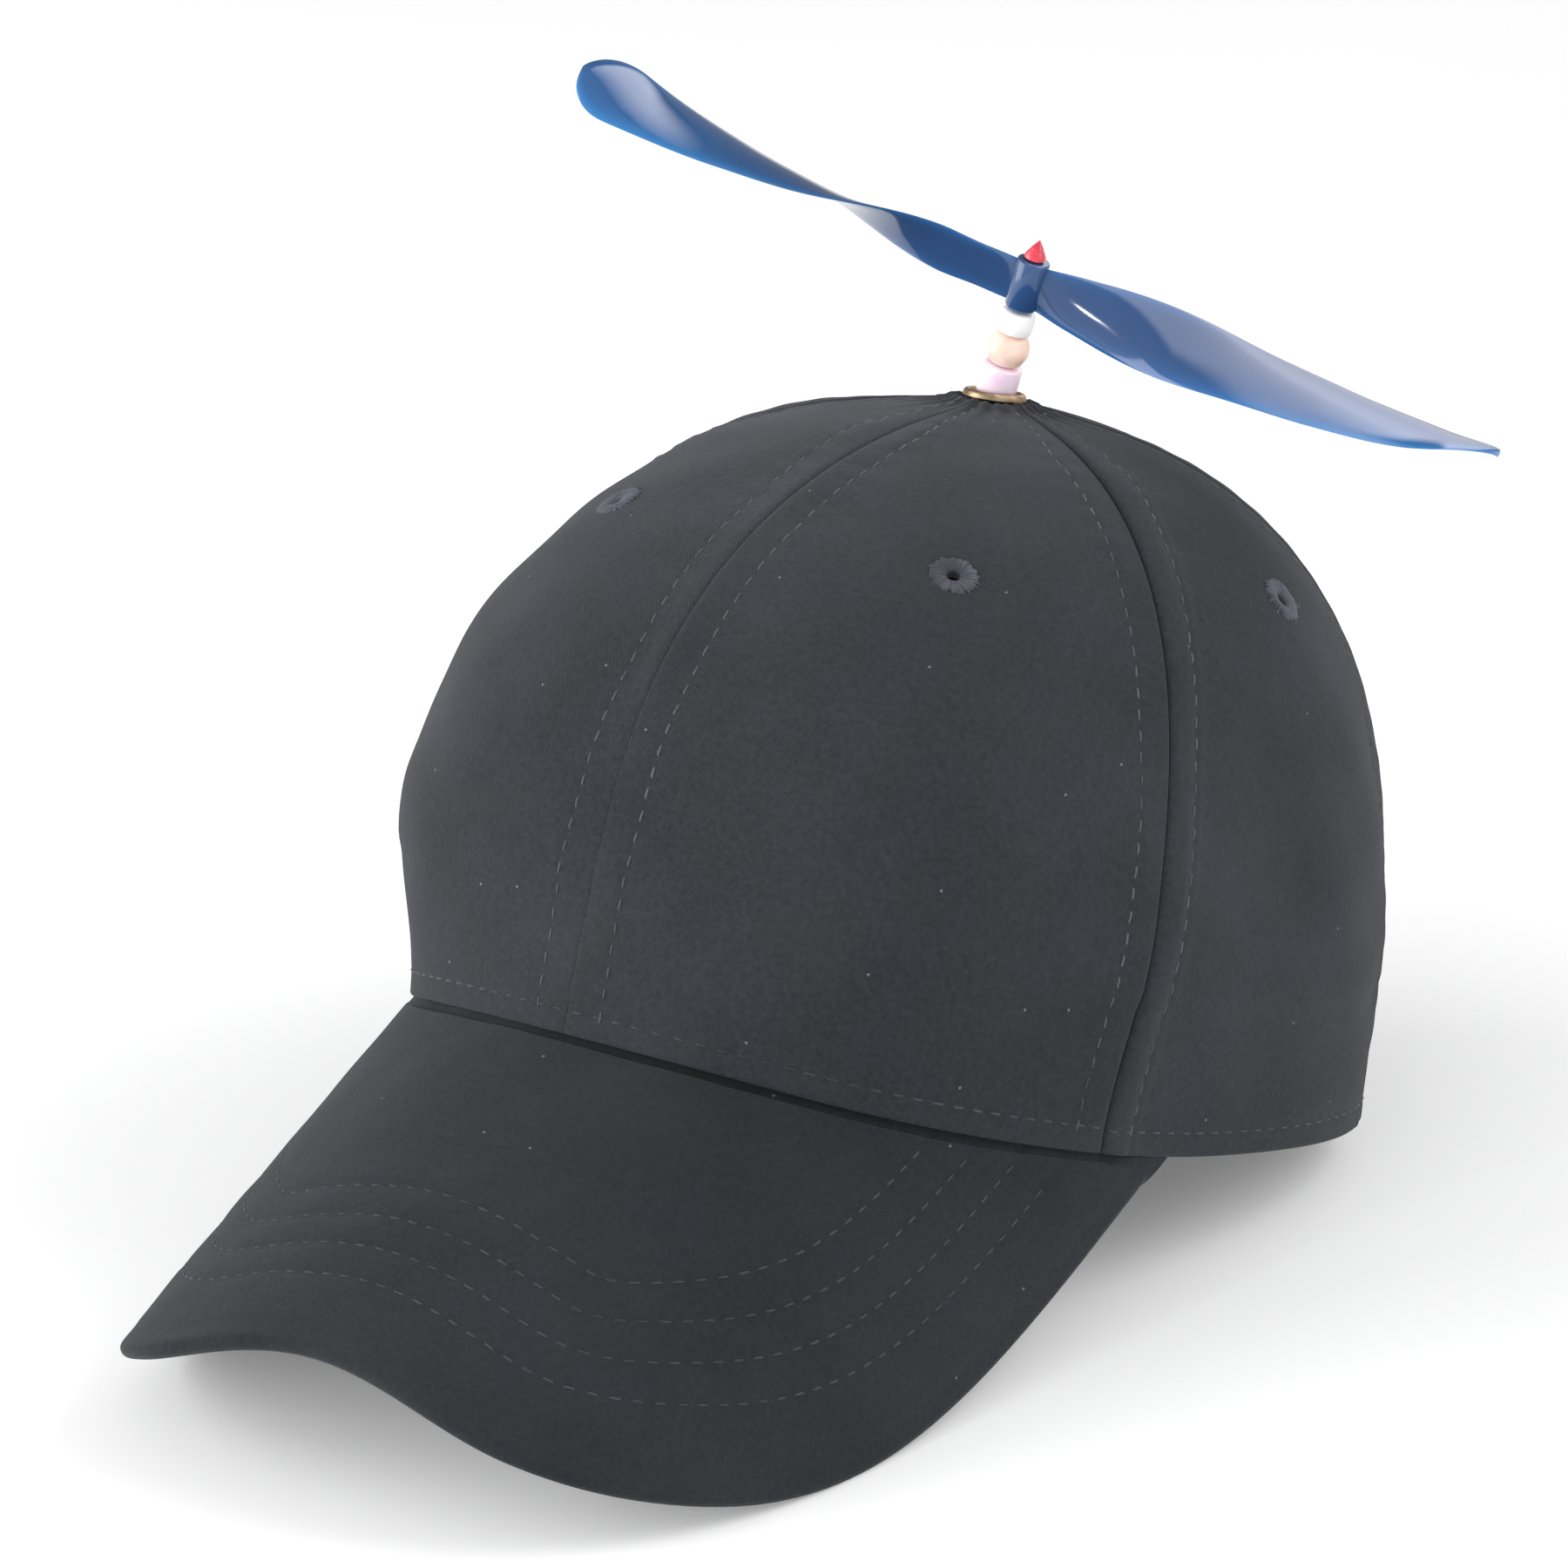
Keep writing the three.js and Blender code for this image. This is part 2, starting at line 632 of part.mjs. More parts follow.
stem.add(part("stem_pin", makePin(), FINISH.steel));
const crownAxis = UP.clone().applyQuaternion(stem.quaternion.clone().invert());
let along = GAP;
for (const piece of THREADED) {
  let geometry = makeThreaded(piece);
  if (piece === THREADED[0]) geometry = slantFoot(geometry, crownAxis);
  const mesh = part(piece.name, geometry, FINISH[piece.finish]);
  mesh.position.z = along;
  stem.add(mesh);
  along += piece.length + GAP;
}
const propeller = part("propeller", makePropeller(), FINISH.blue);
propeller.position.z = along;
stem.add(propeller);
const tip = part("tip_red", makeTip(), FINISH.red);
tip.position.z = along + HUB.height + GAP;
stem.add(tip);

// The origin is on the floor, under the middle of the whole object
const object = new THREE.Group();
object.add(cap);
object.updateMatrixWorld(true);
const box = new THREE.Box3().setFromObject(object, true);
const middle = box.getCenter(new THREE.Vector3());
object.position.set(-middle.x, -middle.y, -box.min.z);
object.updateMatrixWorld(true);

export default object;
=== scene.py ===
"""Looks of a propeller cap: twill panels, a stitched peak, embroidered eyelets, beads and a propeller.

Metres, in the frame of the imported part. The cap is drawn in the frame of its rim, as the solids are,
and every point then goes through to_object().
"""

import json
import math
from types import SimpleNamespace as Sizes

import bmesh
import bpy
import numpy as np
from mathutils import Matrix, Vector


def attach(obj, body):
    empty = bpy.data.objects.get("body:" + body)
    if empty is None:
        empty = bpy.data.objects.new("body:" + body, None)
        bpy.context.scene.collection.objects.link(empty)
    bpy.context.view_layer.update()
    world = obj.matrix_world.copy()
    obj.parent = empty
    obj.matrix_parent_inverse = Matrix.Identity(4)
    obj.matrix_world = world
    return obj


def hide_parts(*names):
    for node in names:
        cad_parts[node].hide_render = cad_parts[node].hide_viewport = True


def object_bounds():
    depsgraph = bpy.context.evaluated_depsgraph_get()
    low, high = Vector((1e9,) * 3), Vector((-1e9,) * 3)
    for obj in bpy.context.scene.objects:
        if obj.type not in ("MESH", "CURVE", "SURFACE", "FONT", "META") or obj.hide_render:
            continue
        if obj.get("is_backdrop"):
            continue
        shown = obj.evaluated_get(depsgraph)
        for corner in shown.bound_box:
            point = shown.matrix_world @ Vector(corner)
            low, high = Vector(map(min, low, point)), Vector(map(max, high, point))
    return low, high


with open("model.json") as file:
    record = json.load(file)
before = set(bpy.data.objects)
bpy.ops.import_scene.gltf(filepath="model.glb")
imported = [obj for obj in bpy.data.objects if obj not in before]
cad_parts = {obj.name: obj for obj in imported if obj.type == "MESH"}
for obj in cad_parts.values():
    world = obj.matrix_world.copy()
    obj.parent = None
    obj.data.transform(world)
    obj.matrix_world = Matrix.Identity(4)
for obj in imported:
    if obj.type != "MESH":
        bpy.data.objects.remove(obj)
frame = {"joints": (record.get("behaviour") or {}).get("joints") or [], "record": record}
cad_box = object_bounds()

MM = 0.001
ROUND = 2 * math.pi
# Starts of the random draws
SEEDS = Sizes(
    fall=11, peak_falls=(21, 31), band_fall=41, peak_top=60, peak_under=70, band=81, seams=100, eyelets=200
)

# The crown, as the solids have it
CROWN_HEIGHT = 0.1304
CROWN_WALL = 0.0018
APEX_SHIFT = -0.001
RIM_ARCH = 0.0142
TOP_HOLE = 0.0034
NUB = Sizes(rise=0.0014, radius=0.011)
GAP = 0.0003
PROFILE = Sizes(
    front=Sizes(radius=0.1115, rise=3.1, close=1.76, plan=2.8),
    side=Sizes(radius=0.0854, rise=4.0, close=2.02),
    back=Sizes(radius=0.0946, rise=2.3, close=2.45, plan=2.0),
)
# Degrees from the front, and the share of the radius by which the rim is pulled in there
RIM_TUCK = [(0, -0.026), (30, 0.044), (60, 0.1), (90, 0.07), (125, -0.006), (180, 0.006)]
TUCK_END = 0.36
PRESS_ZONE = 0.012  # the cloth within this of the rim gives way where it stands on the floor

# Seams in degrees from the front towards the wearer's left: place, from, to, eyelet
PANELS = [
    ("front_left", 0, 66.9, 35),
    ("side_left", 66.9, 126, 98),
    ("back_left", 126, 180, 153),
    ("back_right", -180, -126, -153),
    ("side_right", -126, -66.9, -98),
    ("front_right", -66.9, 0, -35),
]
EYELET_LEVEL = 0.8
EYELET_HOLE = 0.0016

# The peak, as the solids have it
PEAK = Sizes(reach=0.0665, droop=38.9, end_bearing=77.4, thickness=0.0036, corner_power=3.6)
OUTLINE_START = 0.14

# The stem: the pieces on it from the brass ring up to the hub
THREADED = [
    Sizes(name="sleeve_pink", length=0.0062, end=0.0038, middle=0.00395),
    Sizes(name="bead_peach", length=0.0063, end=0.0029, middle=0.0041),
    Sizes(name="sleeve_white", length=0.0046, end=0.0033, middle=0.0035),
]
THREADED_EDGE = 0.0006
THREADED_STEPS = 33
PIN_RADIUS = 0.001
PIN_HOLE = PIN_RADIUS + GAP
PIN = Sizes(head_radius=0.0044, head_top=-0.0056, head_thickness=0.001, end=0.031)
PIN_DOME = Sizes(radius=0.0025, rise=0.0003, edge=0.0002)
GROMMET = Sizes(barrel=0.0024, barrel_depth=0.0034, floor=0.0006, outer=0.0062)
GROMMET_ROLL = Sizes(width=0.0014, height=0.0013, steps=22)
TIP = Sizes(radius=0.0021, skirt=0.0005, height=0.0039, socket=0.0022, edge=0.00015)
TIP_POINT = Sizes(radius=0.0002, blunt_radius=0.00012, blunt_depth=0.00006, hollow=1.15, steps=14)

# The propeller
HUB = Sizes(radius=0.0032, height=0.0105)
# How far the hub's outside is set in, and how high that is over its foot or how deep below its top
HUB_FOOT_EDGE = [(0.0008, 0), (0.0002, 0.0006), (0, 0.0009)]
HUB_TOP_EDGE = [(0, 0.0004), (0.0001, 0.00015), (0.0004, 0)]
BLADE = Sizes(half_span=0.0985, turn=14.7, thickness=0.0014, camber=0.07, middle=0.0053)
BLADE_FLICK = Sizes(rise=0.0054, power=5)
BLADE_TIP = Sizes(start=0.9, least=0.04)
BLADE_SECTION = Sizes(edge=0.4, nose=8, bowed_from=0.2)
# Share of the half span, and chord in metres or twist in degrees
BLADE_CHORD = [
    (0, 0.0085), (0.1, 0.0105), (0.2, 0.013), (0.44, 0.0178), (0.65, 0.02), (0.83, 0.021), (1, 0.0195),
]
BLADE_TWIST = [(0, 90), (0.1, 71), (0.2, 62), (0.44, 20.5), (0.65, 5), (0.83, -5), (1, -19)]
BLADE_GRID = Sizes(stations=84, across=15)
# Painted light in the blue plastic, as if light shone through it: how much lighter it is at the blade's thin
# edges, towards its tip and at the hub
THIN_LIGHT = Sizes(edge=0.65, edge_power=5, tip=0.48, tip_zone=(0.25, 0.85), hub=0.1, hub_edge=0.0002)

# The cap's frame in the object's: its origin is the middle of the head opening
head_opening = next(m for m in frame["record"]["mounts"] if m["name"] == "head_opening")
CAP_ORIGIN = np.array(head_opening["pos_m"])
CAP_UP = -np.array(head_opening["axis"])
CAP_AXES = np.array([[1, 0, 0], [0, CAP_UP[2], -CAP_UP[1]], CAP_UP])
CAP_TURN = Matrix(CAP_AXES.tolist()).transposed()

# The stem's frame: the joint's axis, with the hub's foot at the joint
spin = next(j for j in frame["joints"] if j["name"] == "propeller_spin")
UPWARD = Vector((0, 0, 1))
STEM_AXIS = Vector(spin["axis"]).normalized()
STEM_TURN = CAP_TURN @ UPWARD.rotation_difference(CAP_TURN.transposed() @ STEM_AXIS).to_matrix()
HUB_FOOT = Vector(spin["pos_m"])
STEM_LENGTH = GAP + sum(sizes.length + GAP for sizes in THREADED)
STEM_FOOT = HUB_FOOT - STEM_AXIS * STEM_LENGTH


def to_object(points):
    """Points of the cap's frame in the object's frame."""
    return np.asarray(points) @ CAP_AXES + CAP_ORIGIN


def way_to_object(ways):
    return np.asarray(ways) @ CAP_AXES


def smoothstep(value, low, high):
    t = np.clip((value - low) / (high - low), 0, 1)
    return t * t * (3 - 2 * t)


def ridge(sizes, at):
    """Height of a soft ridge or groove at a distance."""
    return sizes.height * np.exp(-(((at - sizes.away) / sizes.width) ** 2))


def unit(ways):
    return ways / np.linalg.norm(ways, axis=-1, keepdims=True)


def lengths_along(line):
    return np.concatenate([[0], np.cumsum(np.linalg.norm(np.diff(line, axis=0), axis=1))])


def table_value(rows, at):
    """Smooth value of a table of (at, value) rows, with each row's slope taken from its neighbours."""
    xs, ys = np.array(rows, float).T
    slopes = np.zeros(len(xs))
    slopes[1:-1] = (ys[2:] - ys[:-2]) / (xs[2:] - xs[:-2])
    i = np.clip(np.searchsorted(xs, at) - 1, 0, len(xs) - 2)
    span = xs[i + 1] - xs[i]
    t = np.clip((at - xs[i]) / span, 0, 1)
    rest = 1 - t
    ends = ys[i] * (1 + 2 * t) * rest**2 + ys[i + 1] * (3 - 2 * t) * t**2
    return ends + (slopes[i] * rest - slopes[i + 1] * t) * t * rest * span


def soft_noise(points, wavelength, seed, waves=8):
    """A smooth uneven field of about unit size, the same at each run."""
    rng = np.random.default_rng(seed)
    total = np.zeros(points.shape[:-1])
    for _ in range(waves):
        way = rng.normal(size=3)
        way *= ROUND / (wavelength * rng.uniform(0.7, 1.4) * np.linalg.norm(way))
        total += np.sin(points @ way + rng.uniform(0, ROUND))
    return total / math.sqrt(waves / 2)


def uneven(points, fields, seed):
    """Sum of soft fields, each with its height and wavelength."""
    return sum(height * soft_noise(points, wave, seed + k) for k, (height, wave) in enumerate(fields))


def profile_radius(profile, level):
    return profile.radius * (1 - level ** profile.rise) ** (1 / profile.close)


def squared(c, s, power):
    return (np.abs(c) ** power + np.abs(s) ** power) ** (-1 / power)


def crown_point(bearing, height):
    """The crown's plain outer surface, by radians from the front and the share of its height."""
    level = np.clip(height, 0, 1)
    c, s = np.cos(bearing), np.sin(bearing)
    front, back = PROFILE.front, PROFILE.back
    along = np.where(c > 0, profile_radius(front, level), profile_radius(back, level))
    power = 2 + (np.where(c > 0, front.plan, back.plan) - 2) * (1 - level**2)
    degrees = np.degrees(np.arccos(np.clip(c, -1, 1)))
    tuck = table_value(RIM_TUCK, degrees) * (1 - smoothstep(level, 0, TUCK_END))
    size = squared(c, s, power) * (1 - tuck)
    x = profile_radius(PROFILE.side, level) * s * size
    y = -along * c * size
    rim = RIM_ARCH * np.maximum(c, 0) ** 2
    nub = NUB.rise * np.exp(-(x**2 + y**2) / NUB.radius ** 2)
    return np.stack([x, y + APEX_SHIFT * level, rim * (1 - level) + CROWN_HEIGHT * level + nub], -1)


def crown_normal(bearing, height):
    step = 1e-3
    low = np.maximum(height - step, 0)
    high = np.minimum(height + step, 1 - step**2)
    across = crown_point(bearing + step, height) - crown_point(bearing - step, height)
    return unit(np.cross(across, crown_point(bearing, high) - crown_point(bearing, low)))


def from_apex(points):
    return np.hypot(points[..., 0], points[..., 1] - APEX_SHIFT)


def top_height(bearing):
    """Height at which the crown closes in to the grommet's hole, found by halving."""
    low, high = np.full(np.shape(bearing), 0.3), np.ones(np.shape(bearing))
    for _ in range(40):
        middle = (low + high) / 2
        point = crown_point(bearing, middle)
        wide = np.hypot(point[..., 0], point[..., 1] - APEX_SHIFT * middle) > TOP_HOLE
        low, high = np.where(wide, middle, low), np.where(wide, high, middle)
    return low


def pressed(points, bearing, height):
    """Raises the cloth of the rim that would reach below the floor."""
    rim = to_object(crown_point(bearing, np.zeros_like(bearing)))
    depth = np.maximum(0, -rim[..., 2]) / CAP_UP[2]
    give = np.maximum(0, 1 - height * CROWN_HEIGHT / PRESS_ZONE)
    raised = points.copy()
    raised[..., 2] += depth * give
    return raised


def grid_faces(rows, columns, wrap=False, closed=False):
    """Quads of points stored row by row, facing the reader when rows run up and columns to the right.

    wrap joins the last column to the first, and closed joins the last row to the first.
    """
    i, j = np.meshgrid(np.arange(columns if wrap else columns - 1), np.arange(rows if closed else rows - 1))
    right, above = (i + 1) % columns, (j + 1) % rows
    corners = [j * columns + i, j * columns + right, above * columns + right, above * columns + i]
    return np.stack(corners, -1).reshape(-1, 4)


def shell_faces(rows, columns):
    """Faces of a closed shell: an outer grid, an inner grid behind it, and the strip between them."""
    count = rows * columns
    index = np.arange(count).reshape(rows, columns)
    border = np.concatenate([index[0], index[1:, -1], index[-1, -2::-1], index[-2:0:-1, 0]])
    following = np.roll(border, -1)
    strip = np.stack([border, border + count, following + count, following], -1)
    outer = grid_faces(rows, columns)
    return np.concatenate([outer, outer[:, ::-1] + count, strip])


def tube_faces(rings, sides):
    """Faces of a tube that is closed at both ends."""
    count = rings * sides
    ends = [list(range(sides - 1, -1, -1)), list(range(count - sides, count))]
    return grid_faces(rings, sides, wrap=True).tolist() + ends


def repeat_faces(faces, count, size):
    """The same faces for each of a number of equal runs of points."""
    return [[corner + k * size for corner in face] for k in range(count) for face in faces]


def circles(a, b, sides):
    """Points of a circle on the two ways a and b, for each pair of them."""
    angle = np.linspace(0, ROUND, sides, endpoint=False)[:, None]
    return np.cos(angle) * a[..., None, :] + np.sin(angle) * b[..., None, :]


def new_piece(name, points, faces, material, uv=None, smooth=True):
    mesh = bpy.data.meshes.new(name)
    mesh.from_pydata(np.reshape(points, (-1, 3)).tolist(), [], [list(map(int, face)) for face in faces])
    mesh.polygons.foreach_set("use_smooth", [smooth] * len(mesh.polygons))
    if uv is not None:
        corner = np.zeros(len(mesh.loops), int)
        mesh.loops.foreach_get("vertex_index", corner)
        layer = mesh.uv_layers.new(name="UVMap")
        layer.data.foreach_set("uv", np.reshape(uv, (-1, 2))[corner].ravel())
    mesh.materials.append(material)
    piece = bpy.data.objects.new(name, mesh)
    bpy.context.scene.collection.objects.link(piece)
    return piece


def join(piece, other):
    """Joins another closed piece to this one, and removes the other."""
    modifier = piece.modifiers.new("join", "BOOLEAN")
    modifier.operation = "UNION"
    modifier.solver = "EXACT"
    modifier.object = other
    bpy.context.view_layer.update()
    graph = bpy.context.evaluated_depsgraph_get()
    mesh = bpy.data.meshes.new_from_object(piece.evaluated_get(graph))
    old = piece.data
    piece.modifiers.clear()
    piece.data = mesh
    bpy.data.meshes.remove(old)
    mesh.name = piece.name
    bpy.data.objects.remove(other)


class Nodes:
    """Short ways to add linked nodes to one material or world."""

    def __init__(self, owner, shader="Principled BSDF"):
        owner.use_nodes = True
        self.owner = owner
        self.tree = owner.node_tree
        self.shader = self.tree.nodes[shader]

    def put(self, socket, value):
        """Links another node's output to a socket, or sets the socket to a constant."""
        if isinstance(value, bpy.types.NodeSocket):
            self.tree.links.new(value, socket)
        else:
            socket.default_value = (*value, 1) if socket.type == "RGBA" else value

    def set_up(self, node, **values):
        """Names that start with a capital are a node's inputs, and the others its settings."""
        for name, value in values.items():
            if name[0].isupper():
                self.put(node.inputs[name.replace("_", " ")], value)
            else:
                setattr(node, name, value)
        return node

    def add(self, kind, **values):
        return self.set_up(self.tree.nodes.new("ShaderNode" + kind), **values)

    def look(self, **values):
        """Sets the shader's inputs."""
        self.set_up(self.shader, **values)

    def math(self, operation, *values):
        node = self.add("Math", operation=operation)
        for socket, value in zip(node.inputs, values):
            self.put(socket, value)
        return node.outputs[0]

    def total(self, *parts, base=0.0):
        """A base value and the sum of parts, each of which is a value and its weight."""
        for value, weight in parts:
            base = self.math("MULTIPLY_ADD", value, weight, base)
        return base

    def noise(self, scale, detail=2.0, roughness=0.5):
        place = self.add("TexCoord").outputs["Object"]
        node = self.add("TexNoise", Scale=scale, Detail=detail, Roughness=roughness, Vector=place)
        return node.outputs["Fac"]

    def uv(self):
        """The place on the flat pattern, and its two coordinates."""
        uv = self.add("UVMap", uv_map="UVMap").outputs["UV"]
        parts = self.add("SeparateXYZ", Vector=uv)
        return uv, parts.outputs["X"], parts.outputs["Y"]

    def ramp(self, factor, stops):
        node = self.add("ValToRGB", Fac=factor)
        elements = node.color_ramp.elements
        while len(elements) < len(stops):
            elements.new(0.5)
        for element, (position, color) in zip(elements, stops):
            element.position = position
            element.color = (*color, 1)
        return node.outputs["Color"]

    def mix(self, factor, a, b, blend="MIX"):
        node = self.add("Mix", data_type="RGBA", blend_type=blend)
        for index, value in zip((0, 6, 7), (factor, a, b)):
            self.put(node.inputs[index], value)
        return node.outputs[2]

    def fade(self, value, low, high, first, last):
        """A smooth step from the first to the last value, while the given value goes from low to high."""
        node = self.add("MapRange", interpolation_type="SMOOTHSTEP", Value=value, From_Min=low, From_Max=high)
        return self.set_up(node, To_Min=first, To_Max=last).outputs[0]

    def bump(self, height, distance, strength):
        node = self.add("Bump", Height=height, Distance=distance, Strength=strength)
        self.look(Normal=node.outputs["Normal"])


def new_material(name):
    return Nodes(bpy.data.materials.new(name))


CLOTH = Sizes(dark=np.array((0.0152, 0.0169, 0.0208)), light=np.array((0.0337, 0.0369, 0.0452)))
# Sizes of the weave, how steeply its lines run, how far the wales stray and how strongly both show
TWILL = Sizes(wale=0.00072, yarn=0.00041, wale_slope=0.8, yarn_slope=0.45, stray=0.0009)
TWILL_RELIEF = Sizes(wale=0.14, yarn=0.09)
LINT = Sizes(cells=95, bare=0.9, radius=0.035, frayed=0.02, cover=0.42, color=(0.3, 0.31, 0.34))


def cloth_material(name, gain=1.0):
    """Cotton twill: diagonal wales crossed by yarns, uneven dye, loose fuzz and a few pale specks of lint."""
    n = new_material(name)
    uv, u, v = n.uv()
    diagonal = n.total((u, 1.0), (v, TWILL.wale_slope), (n.noise(180), TWILL.stray))
    wale = n.math("SINE", n.math("MULTIPLY", diagonal, ROUND / TWILL.wale))
    crossing = n.total((u, TWILL.yarn_slope), (v, -1.0))
    yarn = n.math("SINE", n.math("MULTIPLY", crossing, ROUND / TWILL.yarn))
    weave = n.total((wale, TWILL_RELIEF.wale), (yarn, TWILL_RELIEF.yarn))
    fuzz = n.noise(2600, 3, 0.7)
    n.bump(n.total((weave, 1.0), (fuzz, 0.6), (n.noise(850), 0.5)), 0.00022, 0.8)
    shade = n.total((n.noise(24, 3), 0.55), (n.noise(900), 0.45), (weave, 0.2))
    dye = n.ramp(shade, [(0.3, CLOTH.dark * gain), (0.72, CLOTH.light * gain)])
    hue = n.ramp(n.noise(55, 3), [(0.35, (1.0, 1.0, 1.0)), (0.65, (1.0, 0.95, 0.88))])
    dye = n.mix(1.0, dye, hue, "MULTIPLY")
    cells = n.add("TexVoronoi", feature="F1", voronoi_dimensions="2D", Scale=LINT.cells, Vector=uv)
    chance = n.add("SeparateColor", Color=cells.outputs["Color"]).outputs[0]
    chosen = n.math("GREATER_THAN", chance, LINT.bare)
    away = n.total((cells.outputs["Distance"], 1.0), (fuzz, LINT.frayed))
    speck = n.math("MULTIPLY", chosen, n.math("LESS_THAN", away, LINT.radius))
    color = n.mix(n.math("MULTIPLY", speck, LINT.cover), dye, LINT.color)
    n.look(Base_Color=color, Roughness=n.total((fuzz, 0.12), base=0.84), Specular_IOR_Level=0.2)
    n.look(Sheen_Weight=0.11, Sheen_Roughness=0.4, Sheen_Tint=(0.86, 0.92, 1))
    return n.owner


def thread_material(name, color):
    """Spun polyester thread: fine twist along the stitch, worn and dusty to a different degree in places."""
    n = new_material(name)
    twist = n.noise(5200)
    wear = n.total((n.noise(30, 1), 0.5), (n.noise(170), 0.35), (twist, 0.15))
    worn = n.ramp(wear, [(0.4, np.array(color) * 0.35), (0.6, color)])
    n.bump(twist, 0.0001, 0.7)
    n.look(Base_Color=worn, Roughness=n.total((n.noise(700), 0.2), base=0.5))
    n.look(Sheen_Weight=0.15, Sheen_Roughness=0.3)
    return n.owner


def mottled_material(name, mottle, stops, rough, relief=None, **look):
    """A plain material that varies a little. A noise is its scale, detail and roughness.

    rough is a noise with its weight and the base it adds to, and relief a noise with its depth and strength.
    """
    n = new_material(name)
    noise, weight, base = rough
    color = n.ramp(n.noise(*mottle), stops)
    n.look(Base_Color=color, Roughness=n.total((n.noise(*noise), weight), base=base), **look)
    if relief:
        noise, depth, strength = relief
        n.bump(n.noise(*noise), depth, strength)
    return n.owner


def brass_material(name):
    """Antique brass: warm metal with dulled, browner patches and fine rub marks."""
    patina = (420, 4, 0.6)
    stops = [(0.32, (0.17, 0.11, 0.065)), (0.55, (0.36, 0.265, 0.165)), (0.78, (0.53, 0.43, 0.31))]
    rub_marks = ((1800,), 0.00006, 0.5)
    return mottled_material(name, patina, stops, (patina, -0.25, 0.56), rub_marks, Metallic=1.0)


def steel_material(name):
    drawn = (900, 3)
    stops = [(0.3, (0.36, 0.37, 0.39)), (0.7, (0.6, 0.61, 0.63))]
    return mottled_material(name, drawn, stops, (drawn, 0.25, 0.2), Metallic=1.0)


def soft_plastic_material(name, deep, pale):
    """Milky soft plastic: light goes a little way in, and the moulding is faintly uneven."""
    milky = {"Subsurface_Weight": 0.8, "Subsurface_Scale": 0.0035, "Subsurface_Radius": (1, 0.85, 0.8)}
    gloss = {"Coat_Weight": 0.25, "Coat_Roughness": 0.12}
    moulding = ((380,), 0.00008, 0.5)
    stops = [(0.3, deep), (0.7, pale)]
    return mottled_material(name, (320,), stops, ((700,), 0.16, 0.3), moulding, **milky, **gloss)


def red_material(name):
    stops = [(0.3, (0.5, 0.02, 0.04)), (0.7, (0.7, 0.045, 0.075))]
    return mottled_material(name, (500,), stops, ((900,), 0.14, 0.18), Coat_Weight=0.4, Coat_Roughness=0.08)


def blade_material(name):
    """Glossy moulded blue with flow marks and faint scuffs, and painted light: the blue is lighter where light
    would shine through the blade's thin edges and towards its tip, and darker at the hub.
    """
    n = new_material(name)
    thin = n.add("Attribute", attribute_name="thin").outputs["Fac"]
    flow = 0.25
    # Painted light: the stored factor lightens the blue where light would pass through the plastic
    tone = n.total((thin, 1.0), (n.noise(60, 3), flow), base=-flow / 2)
    blue = [(0.0, (0.022, 0.058, 0.155)), (0.5, (0.026, 0.1, 0.27)), (1.0, (0.03, 0.17, 0.42))]
    n.bump(n.noise(90, 1), 0.0001, 0.25)
    n.look(Base_Color=n.ramp(tone, blue), Roughness=n.total((n.noise(900, 3), 0.08), base=0.05))
    n.look(Coat_Weight=0.12, Coat_Roughness=0.05)
    return n.owner


def floor_material(name):
    n = new_material(name)
    pale = n.ramp(n.noise(3, 3), [(0.3, (0.9, 0.9, 0.9)), (0.7, (0.93, 0.93, 0.93))])
    n.look(Base_Color=pale, Roughness=0.85, Specular_IOR_Level=0.1)
    n.look(Emission_Color=(1, 1, 1), Emission_Strength=0.14)
    return n.owner


MATERIALS = {
    "cloth": cloth_material("charcoal_twill"),
    # The peak's cloth is the same twill at 0.7 of its colour: painted shade, since the peak faces up to less
    # light than the crown
    "peak": cloth_material("peak_twill", 0.7),
    "band": cloth_material("band_twill", 0.85),
    "thread": thread_material("seam_thread", (0.07, 0.075, 0.086)),
    # A darker copy of the seam thread for the peak's stitches: painted shade, to go with the painted shade of
    # the peak's cloth
    "hidden_thread": thread_material("dark_thread", (0.028, 0.03, 0.037)),
    "hem_thread": thread_material("hem_thread", (0.034, 0.037, 0.044)),
    "embroidery": thread_material("eyelet_thread", (0.062, 0.07, 0.092)),
    "brass": brass_material("antique_brass"),
    "steel": steel_material("drawn_wire"),
    "sleeve_pink": soft_plastic_material("pink_plastic", (0.97, 0.66, 0.82), (0.99, 0.77, 0.88)),
    "bead_peach": soft_plastic_material("peach_plastic", (0.97, 0.58, 0.47), (1.0, 0.73, 0.64)),
    "sleeve_white": soft_plastic_material("white_plastic", (0.95, 0.945, 0.93), (0.98, 0.975, 0.965)),
    "blue": blade_material("blue_plastic"),
    "red": red_material("red_plastic"),
}


def placed(point, turn):
    """Matrix that puts a piece made round +Z at a point of the object's frame."""
    return Matrix.Translation(Vector(point)) @ turn.to_4x4()


FINE = "fine_"  # before the name of the solid that a piece stands for


def hand_over(piece, body="cap"):
    """Lets a piece ride on a body. One that is called after a solid stands for that solid."""
    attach(piece, body)
    if piece.name.startswith(FINE):
        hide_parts(piece.name.removeprefix(FINE))


def seat(piece, matrix, body="cap"):
    """Moves a piece's points into the object's frame, so that the piece itself stays at the origin."""
    piece.data.transform(matrix)
    hand_over(piece, body)


